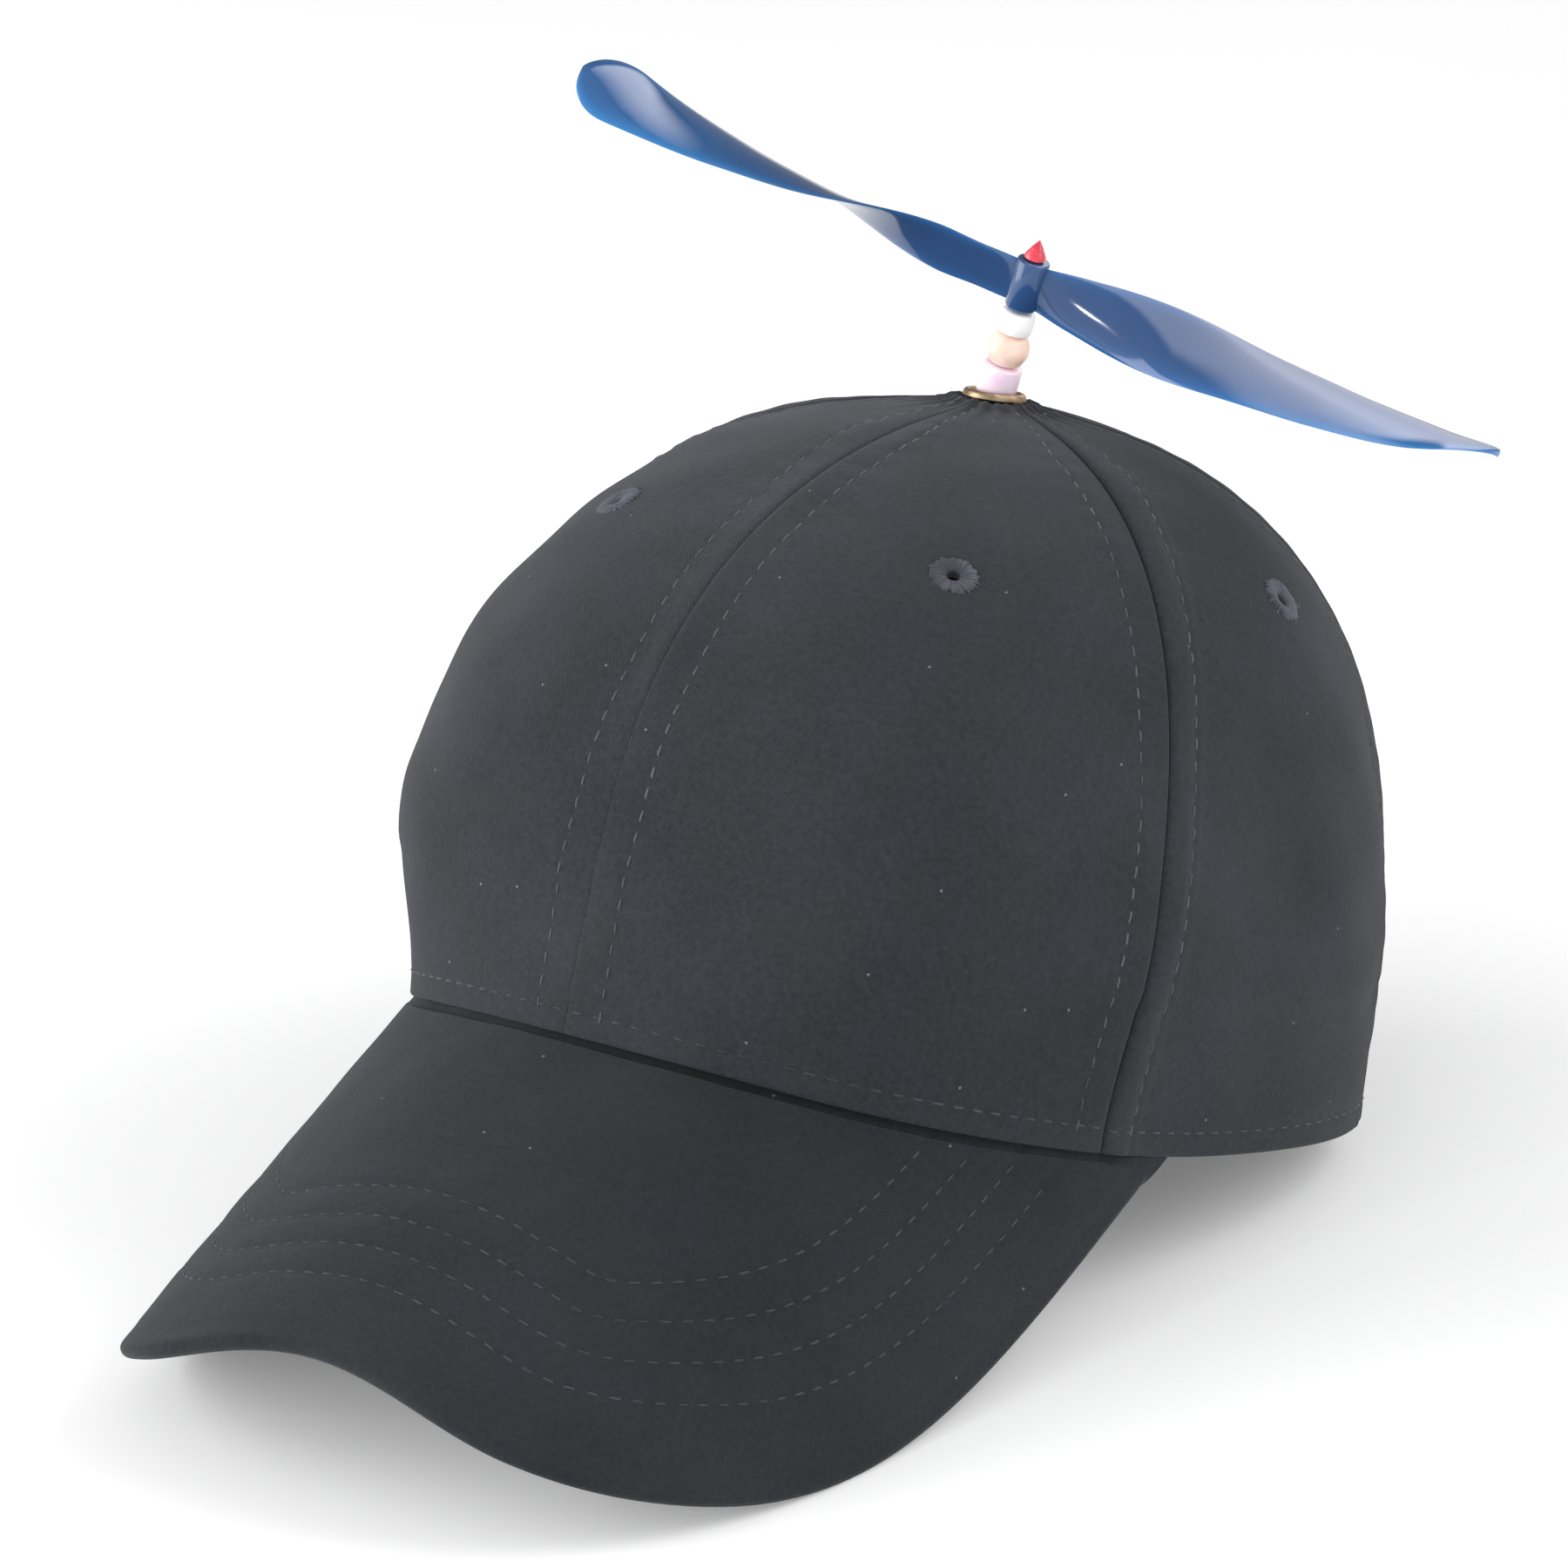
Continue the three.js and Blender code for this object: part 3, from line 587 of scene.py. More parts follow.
def turned(name, profile, material, sides):
    """Solid turned round +Z from (radius, z) points up its outside, closed on the axis or on itself."""
    points, rings = [], []
    for radius, z in profile:
        count = sides if radius else 1
        rings.append(len(points) + np.arange(sides) % count)
        for angle in np.linspace(0, ROUND, count, endpoint=False):
            points.append((radius * math.cos(angle), radius * math.sin(angle), z))
    faces = []
    following = rings[1:] + rings[:1] if profile[0][0] else rings[1:]
    for low, high in zip(rings, following):
        corners = np.stack([low, np.roll(low, -1), np.roll(high, -1), high], -1)
        faces.extend(list(dict.fromkeys(face)) for face in corners.tolist())
    piece = new_piece(FINE + name, points, faces, MATERIALS[material])
    piece.data.set_sharp_from_angle(angle=math.radians(40))
    return piece


def make_shell(name, outer, inner, uv, material):
    """A closed shell of cloth between two grids of points of the cap's frame, kept above the floor."""
    points = to_object(np.concatenate([outer.reshape(-1, 3), inner.reshape(-1, 3)]))
    points[:, 2] = np.maximum(points[:, 2], 0)
    faces = shell_faces(*outer.shape[:2])
    return new_piece(FINE + name, points, faces, MATERIALS[material], np.concatenate([uv, uv]))


# Stitches: how a stitch lies from end to end, as shares of its rise or dip and of its radius
STITCH = Sizes(pitch=0.0042, length=0.0028, radius=0.00024, rise=0.00003, dip=0.00035)
STITCH_LIFT = np.array([-1.0, 0.55, 1.0, 1.0, 0.55, -1.0])
STITCH_GIRTH = np.array([0.55, 0.95, 1.0, 1.0, 0.95, 0.55])
STITCH_FLAT = Sizes(wide=1.1, high=0.8)
STITCH_STRAY = Sizes(along=0.00008, aside=0.00006)
THREAD_SIDES = 6


class Stitches:
    """Collects rows of short raised threads that dip into the cloth at both ends."""

    def __init__(self):
        self.rows = []

    def row(self, path, normals, seed):
        rng = np.random.default_rng(seed)
        run = lengths_along(path)
        number = int(run[-1] / STITCH.pitch)
        start = (np.arange(number) + 0.5) * run[-1] / number + rng.normal(0, STITCH_STRAY.along, number)
        share = np.linspace(-0.5, 0.5, len(STITCH_LIFT))
        at = np.clip(start[:, None] + share * STITCH.length, 0, run[-1])
        middle = np.stack([np.interp(at, run, line) for line in path.T], -1)
        normal = unit(np.stack([np.interp(at, run, line) for line in normals.T], -1))
        lift = STITCH_LIFT * np.where(STITCH_LIFT > 0, STITCH.rise, STITCH.dip)
        middle = middle + normal * lift[:, None]
        along = unit(np.gradient(middle, axis=1))
        side = unit(np.cross(along, normal))
        over = np.cross(side, along)
        middle = middle + side * rng.normal(0, STITCH_STRAY.aside, (number, 1, 1)) * share[:, None]
        ring = circles(side * STITCH_FLAT.wide, over * STITCH_FLAT.high, THREAD_SIDES)
        points = middle[..., None, :] + ring * STITCH.radius * STITCH_GIRTH[:, None, None]
        self.rows.append(points.reshape(-1, 3))

    def make(self, name, material):
        points = np.concatenate(self.rows)
        tube = [face[::-1] for face in tube_faces(len(STITCH_LIFT), THREAD_SIDES)]
        size = len(STITCH_LIFT) * THREAD_SIDES
        faces = repeat_faces(tube, len(points) // size, size)
        hand_over(new_piece(name, points, faces, MATERIALS[material]))


# Crown: distance from the seam, and height of the cloth over the panel
WELT = [
    (0.00002, -0.00065), (0.0003, -0.0002), (0.0008, 0.00016), (0.002, 0.00042),
    (0.005, 0.00045), (0.0072, 0.0002), (0.0086, 0.00016), (0.0105, 0.0),
]
WELT_FULL_WIDTH = 0.04  # a welt gets narrower where the panel is narrower than this
# How strongly the cloth stands up beside a seam, by its degrees from the front: on its front and back side.
# The turned-in cloth is pressed towards the back.
SEAM_STRENGTH = {0: (0.4, 0.4), 66.9: (0.45, 1.7), 126: (0.6, 1.2), 180: (0.8, 0.8)}
# What is left of that near the rim, where the seam is pressed flat, and the heights between which it rises
SEAM_LOW = {0: 0.35, 66.9: 1, 126: 1, 180: 1}
SEAM_RISES = (0.045, 0.09)
SEAM_ALLOWANCE = Sizes(thickness=0.0005, end=(0.0095, 0.0105))
# Grooves under the rows of stitches. even is the share of the depth that does not vary from stitch to stitch.
SEAM_GROOVE = Sizes(away=0.0072, width=0.0009, height=-0.00013, even=0.6)
HEM_GROOVE = Sizes(away=0.0046, width=0.0008, height=-0.00016, even=0.7)
SEAM_RIPPLE = Sizes(away=SEAM_GROOVE.away, width=0.0045, height=0.0001, wave=0.0078, second_seam=2.1)
HEM_EDGE = Sizes(depth=0.0003, height=0.0006)
# The step over the sweatband and the soft fold above it
BAND = Sizes(top=0.0285, step=0.0005, slope=0.0022, sway=0.0006, sway_rate=70)
BAND_FOLD = Sizes(away=0.0045, width=0.0035, height=0.00012)
# Folds and a raised collar round the grommet. A fold of the collar has its share, number round and start.
GATHER = Sizes(away=0.009, width=0.008, height=0.00022, rate=26)
COLLAR = Sizes(away=0.0076, width=0.0013, height=0.001, even=0.75)
COLLAR_FOLDS = [(0.15, 11, 0), (0.1, 17, 1)]
# Uneven fall of the cloth: height and wavelength of its fields, and how near to a seam or the rim it is calm
FALL = [(0.00042, 0.075), (0.00016, 0.026)]
CALM = Sizes(seam=0.006, rim=0.01)
# Rows and columns of a panel's grid: distances from the rim, and from a seam in millimetres
ROW_STEP = 0.0015
HEM_ROWS = [0, 0.0003, 0.0007, 0.0012, 0.0019, 0.0027, 0.0035, 0.0041, 0.0046, 0.0051, 0.0058, 0.0068]
HEM_STITCH_ROW = HEM_ROWS.index(HEM_GROOVE.away)
COLUMN_STEP = 0.0016
WELT_COLUMNS = [0.02, 0.15, 0.35, 0.7, 1.1, 1.7, 2.6, 3.8, 5.0, 6.0, 6.7, 7.2, 7.7, 8.5, 9.5, 10.6]
PANEL_STEPS = Sizes(bearings=97, heights=4001, hem=160)
# Rows of stitches end this far from the rim, from the grommet and, as a share of a panel, from its seams
STITCH_ENDS = Sizes(rim=0.0022, apex=0.0085, seam=0.0022)


def groove(sizes, away, along):
    """The groove under a row of stitches, which varies from stitch to stitch."""
    return ridge(sizes, away) * (sizes.even + (1 - sizes.even) * np.cos(ROUND * along / STITCH.pitch))


class Panel:
    """One panel of the crown as a sheet: a place on it is a distance along a row, and the row."""

    def __init__(self, place, start, end):
        self.place = place
        middle = abs(start + end) / 2
        self.strength = [SEAM_STRENGTH[abs(seam)][int(abs(seam) < middle)] for seam in (start, end)]
        self.low = [SEAM_LOW[abs(seam)] for seam in (start, end)]
        self.bearings = np.radians(np.linspace(start, end, PANEL_STEPS.bearings))
        centre = np.radians((start + end) / 2)
        top = top_height(np.array([centre]))[0]
        heights = top * (1 - (1 - np.linspace(0, 1, PANEL_STEPS.heights)) ** 2)
        length = lengths_along(crown_point(np.full_like(heights, centre), heights))
        count = int(round((length[-1] - HEM_ROWS[-1]) / ROW_STEP))
        self.up = np.concatenate([HEM_ROWS, np.linspace(HEM_ROWS[-1], length[-1], count + 1)[1:]])
        self.levels = np.interp(self.up, length, heights)
        self.tops = top_height(self.bearings) / top
        self.lengths = [lengths_along(crown_point(self.bearings, level * self.tops)) for level in self.levels]
        self.widths = np.array([length[-1] for length in self.lengths])
        self.full = np.minimum(1, self.widths / WELT_FULL_WIDTH)

    def lift(self, points, away):
        """How far the cloth stands over the plain surface: welts, grooves, band step, hem and uneven fall."""
        full, up, width = self.full[:, None], self.up[:, None], self.widths[:, None]
        near = np.minimum(away, width - away)
        first = away < width / 2
        phase = np.where(first, 0.0, SEAM_RIPPLE.second_seam)
        low = np.where(first, *self.low)
        strength = np.where(first, *self.strength) * (low + (1 - low) * smoothstep(up, *SEAM_RISES))
        lift = table_value(WELT, near / full) * full * strength
        lift += groove(SEAM_GROOVE, near / full, up) + groove(HEM_GROOVE, up, away)
        lift += ridge(SEAM_RIPPLE, near / full) * full * np.sin(ROUND * up / SEAM_RIPPLE.wave + phase)
        lift -= HEM_EDGE.depth * np.maximum(0, 1 - up / HEM_EDGE.height) ** 2
        band = BAND.top + BAND.sway * np.sin(away * BAND.sway_rate + phase)
        lift += BAND.step * (smoothstep(up, band - BAND.slope, band + BAND.slope) - 1)
        lift += ridge(BAND_FOLD, up - band)
        apex = from_apex(points)
        turn = np.arctan2(points[..., 0], -points[..., 1])
        folds = sum(share * np.sin(count * turn + start) for share, count, start in COLLAR_FOLDS)
        lift += ridge(GATHER, apex) * np.sin(away / width * GATHER.rate)
        lift += ridge(COLLAR, apex) * (COLLAR.even + folds)
        calm = smoothstep(near, 0, CALM.seam) * smoothstep(up, 0, CALM.rim)
        return lift + uneven(points, FALL, SEEDS.fall) * calm

    def surface(self, away):
        """Outer and inner points and the normals between them, for distances along each row of the panel."""
        bearing = np.array([np.interp(a, lengths, self.bearings) for a, lengths in zip(away, self.lengths)])
        height = self.levels[:, None] * np.interp(bearing, self.bearings, self.tops)
        plain = crown_point(bearing, height)
        normal = crown_normal(bearing, height)
        near = np.minimum(away, self.widths[:, None] - away)
        turned_in = (1 - smoothstep(near, *SEAM_ALLOWANCE.end)) * self.full[:, None]
        outer = plain + normal * self.lift(plain, away)[..., None]
        inner = plain - normal * (CROWN_WALL + SEAM_ALLOWANCE.thickness * turned_in)[..., None]
        return pressed(outer, bearing, height), pressed(inner, bearing, height), normal

    def columns(self):
        welts = np.array(WELT_COLUMNS) * MM
        count = int((self.widths.max() - 2 * welts[-1]) / COLUMN_STEP)
        share = np.linspace(0, 1, count + 2)[1:-1]
        rows = []
        for width, full in zip(self.widths, self.full):
            edge = np.concatenate([welts[:1], welts[1:] * full])
            rows.append(np.concatenate([edge, edge[-1] + (width - 2 * edge[-1]) * share, width - edge[::-1]]))
        return np.array(rows)

    def make(self, eyelet):
        away = self.columns()
        outer, inner, _ = self.surface(away)
        uv = np.stack([away - self.widths[:, None] / 2, np.broadcast_to(self.up[:, None], away.shape)], -1)
        piece = make_shell("panel_" + self.place, outer, inner, uv, "cloth")
        cut_hole(piece, eyelet, EYELET_HOLE)
        hand_over(piece)

    def sew(self, stitches, hem_stitches, seed):
        """The row of stitches along each seam, and the row above the rim."""
        from_seam = SEAM_GROOVE.away * self.full
        for side, away in enumerate((from_seam, self.widths - from_seam)):
            outer, _, normal = self.surface(away[:, None])
            kept = (self.up > STITCH_ENDS.rim) & (from_apex(outer[:, 0]) > STITCH_ENDS.apex)
            stitches.row(to_object(outer[kept, 0]), way_to_object(normal[kept, 0]), seed + side)
        share = np.linspace(STITCH_ENDS.seam, 1 - STITCH_ENDS.seam, PANEL_STEPS.hem)
        outer, _, normal = self.surface(self.widths[:, None] * share)
        path = to_object(outer[HEM_STITCH_ROW])
        hem_stitches.row(path, way_to_object(normal[HEM_STITCH_ROW]), seed + 2)


def cut_hole(piece, matrix, radius):
    """Opens a round hole through both faces of a shell and walls it."""
    reach = 0.004
    into = matrix.inverted()
    work = bmesh.new()
    work.from_mesh(piece.data)
    inside = []
    for face in work.faces:
        spot = into @ face.calc_center_median()
        if math.hypot(spot.x, spot.y) < radius and abs(spot.z) < reach:
            inside.append(face)
    bmesh.ops.delete(work, geom=inside, context="FACES")
    border = [edge for edge in work.edges if edge.is_boundary]
    for vertex in {vertex for edge in border for vertex in edge.verts}:
        spot = into @ vertex.co
        size = radius / math.hypot(spot.x, spot.y)
        vertex.co = matrix @ Vector((spot.x * size, spot.y * size, spot.z))
    bmesh.ops.bridge_loops(work, edges=border)
    work.to_mesh(piece.data)
    work.free()


# Eyelets: radius and height of a thread from the outside in, over the cloth
EYELET_PATH = np.array([
    (0.0046, -0.0004), (0.0044, 0.00002), (0.0040, 0.00024), (0.0034, 0.00036), (0.0027, 0.00038),
    (0.0020, 0.00032), (0.0015, 0.00008), (0.0013, -0.0005), (0.00135, -0.0016),
])
EYELET = Sizes(strands=58, thread=0.00025, full_girth_at=0.0034, girth=(0.55, 1.1), loose_from=0.0042)
# How far the threads stray round the ring, as a share of their spacing, outwards and upwards
EYELET_STRAY = (0.09, 0.0002, 0.00004)
EYELET_SLANT = Sizes(rate=0.18, middle=0.003)
# The padded ring below the threads: how far it lies inside their path
EYELET_PAD = Sizes(inset=0.0001, down=0.00018, sides=48)


def eyelet_place(degrees):
    bearing, height = np.array([math.radians(degrees)]), np.array([EYELET_LEVEL])
    point = crown_point(bearing, height)
    normal = crown_normal(bearing, height)
    middle = to_object(point + normal * uneven(point, FALL, SEEDS.fall)[..., None])[0]
    return placed(middle, UPWARD.rotation_difference(Vector(way_to_object(normal)[0])).to_matrix())


def make_eyelet(name, matrix, seed):
    """A ring of satin stitches: each thread goes over a padded ring and down into the hole."""
    count = EYELET.strands
    stray = np.random.default_rng(seed).normal(0, EYELET_STRAY, (count, 3))
    angle = ROUND * (np.arange(count) + stray[:, 0]) / count
    out = np.stack([np.cos(angle), np.sin(angle), np.zeros(count)], -1)[:, None]
    around = np.stack([-np.sin(angle), np.cos(angle), np.zeros(count)], -1)[:, None]
    up = np.array([0, 0, 1])
    radius, height = EYELET_PATH.T
    reach = radius + np.where(radius > EYELET.loose_from, stray[:, 1:2], 0)
    level = height + np.where(height > 0, stray[:, 2:], 0)
    slant = (radius - EYELET_SLANT.middle) * EYELET_SLANT.rate
    middle = out * reach[..., None] + up * level[..., None] + around * slant[:, None]
    way = unit(np.gradient(EYELET_PATH, axis=0))
    lifted = up * way[:, :1] - out * way[:, 1:]
    girth = EYELET.thread * np.clip(radius / EYELET.full_girth_at, *EYELET.girth)
    strands = middle[:, :, None] + circles(around, lifted, THREAD_SIDES) * girth[:, None, None]
    strands = strands.reshape(-1, 3)
    faces = repeat_faces(tube_faces(len(radius), THREAD_SIDES), count, len(radius) * THREAD_SIDES)

    pad = EYELET_PAD
    inward = np.where(radius > EYELET_SLANT.middle, -pad.inset, pad.inset)
    ring = circles(np.array([1, 0, 0]), np.array([0, 1, 0]), pad.sides)
    points = ring * (radius + inward)[:, None, None] + up * (height - pad.down)[:, None, None]
    faces += (grid_faces(len(radius), pad.sides, wrap=True, closed=True) + len(strands)).tolist()
    points = np.concatenate([strands, points.reshape(-1, 3)])
    seat(new_piece(FINE + name, points, faces, MATERIALS["embroidery"]), matrix)


# Peak: rows of stitches by their distance from its edge, with the grooves and the puffs of cloth between them
PEAK_STITCH_AWAY = [0.0185, 0.0265, 0.0345, 0.0425]
PEAK_GROOVE = Sizes(away=0, width=0.0009, height=-0.00026)
PEAK_PUFF = Sizes(away=0.004, width=0.003, height=0.00008)
PEAK_BOARD = Sizes(away=0.0048, width=0.0012, height=-0.00012)  # the board's edge shows through the cloth
PEAK_FALL = [(0.00022, 0.06), (0.00006, 0.018)]
PEAK_CALM = 0.008
# The groove along the crown, shallower towards both ends: by these shares at the wearer's right and left
PEAK_DIP = Sizes(depth=0.0015, rim=(0.0011, 0.002), edge=(0.002, 0.012), ends=(0.036, 0.066))
PEAK_DIP_LOSS = Sizes(right=0.85, left=0.25)
PEAK_ROLL = 0.0018
PEAK_SEWN_IN = (0.0006, 0.006)
# Rows of the peak's grid: from its edge, from the rim, and of the cloth that is sewn in at the crown
PEAK_EDGE_ROWS = np.array([0, 0.05, 0.15, 0.32, 0.55, 0.85, 1.2, 1.6, 2.1, 2.8, 3.6, 4.6]) * MM
PEAK_RIM_ROWS = np.array([4.6, 3.5, 2.8, 2.4, 2.1, 1.9, 1.7, 1.5, 1.3, 1.1, 0.9, 0.5, 0]) * MM
PEAK_TUCK = np.array([0.7, 1.4, 2.0]) * MM
PEAK_GRID = Sizes(rows=62, columns=190, rim=1601, edge=1201)
PEAK_COARSE = Sizes(base=12, edge=3)  # every so many points of a line are enough to measure distances from it
PEAK_END_COLUMNS = np.array([0, 0.1, 0.3, 0.6, 1, 1.5, 2, 3, 4.2]) / 230  # shares of the peak's width
PEAK_RIM_SHARE = 0.4  # the most of the peak's length that the rows near the rim take up
STEEPEST = 0.95
PEAK_STITCH_ENDS = Sizes(edge=0.0002, rim=0.004)


class Peak:
    """The peak's upper face is made of lines that all run the same way, so it unrolls flat.

    A place on the flat pattern is a distance across the peak and a distance along it.
    """

    def __init__(self):
        end = math.radians(PEAK.end_bearing)
        droop = math.radians(PEAK.droop)
        self.cos, self.sin = math.cos(droop), math.sin(droop)
        self.x, y, z = self.rim(np.linspace(-end, end, PEAK_GRID.rim)).T
        z = z - GAP
        self.rise = z * self.cos - y * self.sin
        self.start = -z * self.sin - y * self.cos
        self.offset = y * self.sin**2 / self.cos - z * self.sin
        self.across = lengths_along(np.stack([self.x, self.rise], -1))
        self.across -= self.across[-1] / 2
        self.slope = np.clip(np.gradient(self.rise, self.across), -STEEPEST, STEEPEST)
        angle = np.linspace(math.pi - OUTLINE_START, OUTLINE_START, PEAK_GRID.edge)
        c, s = np.cos(angle), np.sin(angle)
        size = squared(c, s, PEAK.corner_power)
        last = self.rim(np.array([end]))[0]
        front = self.rim(np.array([0.0]))[0, 1] - PEAK.reach
        edge_x = last[0] * c * size
        edge_y = last[1] + (front - last[1]) * s * size
        edge_along = np.interp(edge_x, self.x, self.offset) - edge_y / self.cos
        self.edge = np.stack([np.interp(edge_x, self.x, self.across), edge_along], -1)
        base = np.stack([self.across, self.start], -1)
        self.base = np.concatenate([base[::PEAK_COARSE.base], base[-1:]])
        self.border = np.concatenate([base[:1], self.edge[::PEAK_COARSE.edge], base[-1:]])

    def rim(self, bearing):
        low = np.zeros_like(bearing)
        return crown_point(bearing, low) - crown_normal(bearing, low) * CROWN_WALL / 2

    def point(self, flat):
        """Point and normal of the plain upper face at a place of the flat pattern."""
        x, rise, slope = (np.interp(flat[..., 0], self.across, v) for v in (self.x, self.rise, self.slope))
        y = (np.interp(x, self.x, self.offset) - flat[..., 1]) * self.cos
        z = (rise + y * self.sin) / self.cos
        level = np.sqrt(1 - slope**2)
        normal = np.stack([-slope, -level * self.sin, level * self.cos], -1)
        return np.stack([x, y, z], -1), normal

    def distance(self, flat, line):
        """Distance from a line of the flat pattern."""
        spots = flat.reshape(-1, 2)
        best = np.full(len(spots), np.inf)
        for corner, way in zip(line, np.diff(line, axis=0)):
            share = np.clip(((spots - corner) @ way) / (way @ way), 0, 1)
            best = np.minimum(best, np.linalg.norm(spots - corner - share[:, None] * way, axis=1))
        return best.reshape(flat.shape[:-1])

    def from_rim(self, flat):
        """Distance from the line where the peak is sewn to the crown."""
        beyond = flat[..., 1] > np.interp(flat[..., 0], self.across, self.start)
        return np.where(beyond, self.distance(flat, self.base), 0)

    def lift(self, inside, rim, across, points, seed):
        """How far the cloth stands over the plain face: grooves, puffs, board and the groove at the crown."""
        lift = ridge(PEAK_BOARD, inside)
        for away in PEAK_STITCH_AWAY:
            lift += ridge(PEAK_GROOVE, inside - away) + ridge(PEAK_PUFF, inside - away)
        dip = (1 - smoothstep(rim, *PEAK_DIP.rim)) * smoothstep(inside, *PEAK_DIP.edge)
        right, left = smoothstep(-across, *PEAK_DIP.ends), smoothstep(across, *PEAK_DIP.ends)
        lift -= PEAK_DIP.depth * dip * (1 - PEAK_DIP_LOSS.right * right - PEAK_DIP_LOSS.left * left)
        return lift + uneven(points, PEAK_FALL, seed) * smoothstep(inside, 0, PEAK_CALM)

    def faces(self, flat):
        """Upper and lower points of the covered peak, in the cap's frame, and the upper face's normals."""
        plain, normal = self.point(flat)
        inside = self.distance(flat, self.border)
        rim = self.from_rim(flat)
        near = np.maximum(np.minimum(inside, PEAK_ROLL) / PEAK_ROLL, 1 - smoothstep(rim, *PEAK_SEWN_IN))
        half = PEAK.thickness / 2 * np.sqrt(1 - (1 - near) ** 2)
        middle = plain - normal * PEAK.thickness / 2
        upper, lower = (half + self.lift(inside, rim, flat[..., 0], plain, seed) for seed in SEEDS.peak_falls)
        return middle + normal * upper[..., None], middle - normal * lower[..., None], normal

    def make(self):
        small = PEAK_END_COLUMNS
        wide = np.linspace(small[-1], 1 - small[-1], PEAK_GRID.columns)[1:-1]
        share = np.concatenate([small, wide, 1 - small[::-1]])
        base_x = self.rim(math.radians(PEAK.end_bearing) * (2 * share - 1))[:, 0]
        base = np.stack([np.interp(base_x, self.x, v) for v in (self.across, self.start)], -1)
        at = np.linspace(0, 1, len(self.edge))
        edge = np.stack([np.interp(share, at, v) for v in self.edge.T], -1)
        length = np.linalg.norm(edge - base, axis=1)
        squeeze = np.minimum(1, PEAK_RIM_SHARE * length / PEAK_RIM_ROWS[0])
        from_edge = 1 - PEAK_EDGE_ROWS[:, None] / length
        near_rim = PEAK_RIM_ROWS[:, None] * squeeze / length
        step = np.linspace(0, 1, PEAK_GRID.rows)[1:-1, None]
        between = from_edge[-1] * (1 - step) + near_rim[0] * step
        rows = np.concatenate([from_edge, between, near_rim, -PEAK_TUCK[:, None] / length])
        flat = base + (edge - base) * rows[..., None]
        upper, lower, _ = self.faces(flat)
        piece = make_shell("peak", upper, lower, flat, "peak")
        weld(piece)
        hand_over(piece)

    def sew(self, upper_stitches, lower_stitches):
        way = unit(np.gradient(self.edge, axis=0))
        inward = np.stack([way[:, 1], -way[:, 0]], -1)
        if inward[len(inward) // 2, 1] > 0:
            inward = -inward
        for number, away in enumerate(PEAK_STITCH_AWAY):
            flat = self.edge + inward * away
            rim = np.interp(flat[:, 0], self.across, self.start)
            kept = self.distance(flat, self.border) > away - PEAK_STITCH_ENDS.edge
            kept &= flat[:, 1] > rim + PEAK_STITCH_ENDS.rim
            upper, lower, normal = self.faces(flat[kept])
            upper_stitches.row(to_object(upper), way_to_object(normal), SEEDS.peak_top + number)
            lower_stitches.row(to_object(lower), way_to_object(-normal), SEEDS.peak_under + number)


def weld(piece):
    """Merges the points that meet on an edge."""
    work = bmesh.new()
    work.from_mesh(piece.data)
    bmesh.ops.remove_doubles(work, verts=work.verts, dist=2e-6)
    bmesh.ops.dissolve_degenerate(work, edges=work.edges, dist=1e-6)
    work.to_mesh(piece.data)
    work.free()


# Sweatband, with the rows of its grid in millimetres over the rim
SWEATBAND = Sizes(wall=0.0012, foot=0.0006, clearance=0.0007, edge=0.0006, thin_edge=0.75, steps=420)
SWEATBAND_ROWS = [0.6, 0.75, 1.1, 1.6, 2.2, 2.6, 3.2, 4.5, 7, 10, 13, 16, 19, 22, 24.6, 26.2, 27, 27.4, 27.6]
SWEATBAND_STITCH_ROW = SWEATBAND_ROWS.index(2.6)
SWEATBAND_GROOVE = Sizes(away=0.0026, width=0.0006, height=-0.00015)
SWEATBAND_FALL = [(0.00014, 0.03)]


def make_sweatband():
    """A folded strip inside the rim, with a row of stitches near its foot."""
    s = SWEATBAND
    rows = np.array(SWEATBAND_ROWS) * MM
    bearing, up = np.meshgrid(np.linspace(0, ROUND, s.steps, endpoint=False), rows)
    height = up / CROWN_HEIGHT
    plain, normal = crown_point(bearing, height), crown_normal(bearing, height)
    ends = np.minimum(np.minimum(up - rows[0], rows[-1] - up), s.edge) / s.edge
    round_edge = 1 - np.sqrt(np.clip(1 - (1 - ends) ** 2, 0, 1))
    half = s.wall / 2 * (1 - s.thin_edge * round_edge)
    middle = CROWN_WALL + s.clearance + s.wall / 2
    soft = uneven(plain, SWEATBAND_FALL, SEEDS.band_fall) + ridge(SWEATBAND_GROOVE, up)
    faces = []
    for depth in (middle - half, middle + half + soft):
        face = to_object(pressed(plain - normal * depth[..., None], bearing, height))
        face[..., 2] = np.maximum(face[..., 2], s.foot)
        faces.append(face)
    outer, inner = faces
    points = np.concatenate([outer, inner[::-1]])
    uv = np.stack(np.meshgrid(lengths_along(plain[0]), rows), -1)
    quads = grid_faces(*points.shape[:2], wrap=True, closed=True)
    piece = new_piece(FINE + "sweatband", points, quads, MATERIALS["band"], np.concatenate([uv, uv[::-1]]))
    hand_over(piece)
    stitches = Stitches()
    row = SWEATBAND_STITCH_ROW
    stitches.row(inner[row], way_to_object(-normal[row]), SEEDS.band)
    stitches.make("stitches_sweatband", "thread")


# Stem
def on_stem(along):
    return placed(STEM_FOOT + STEM_AXIS * along, STEM_TURN)


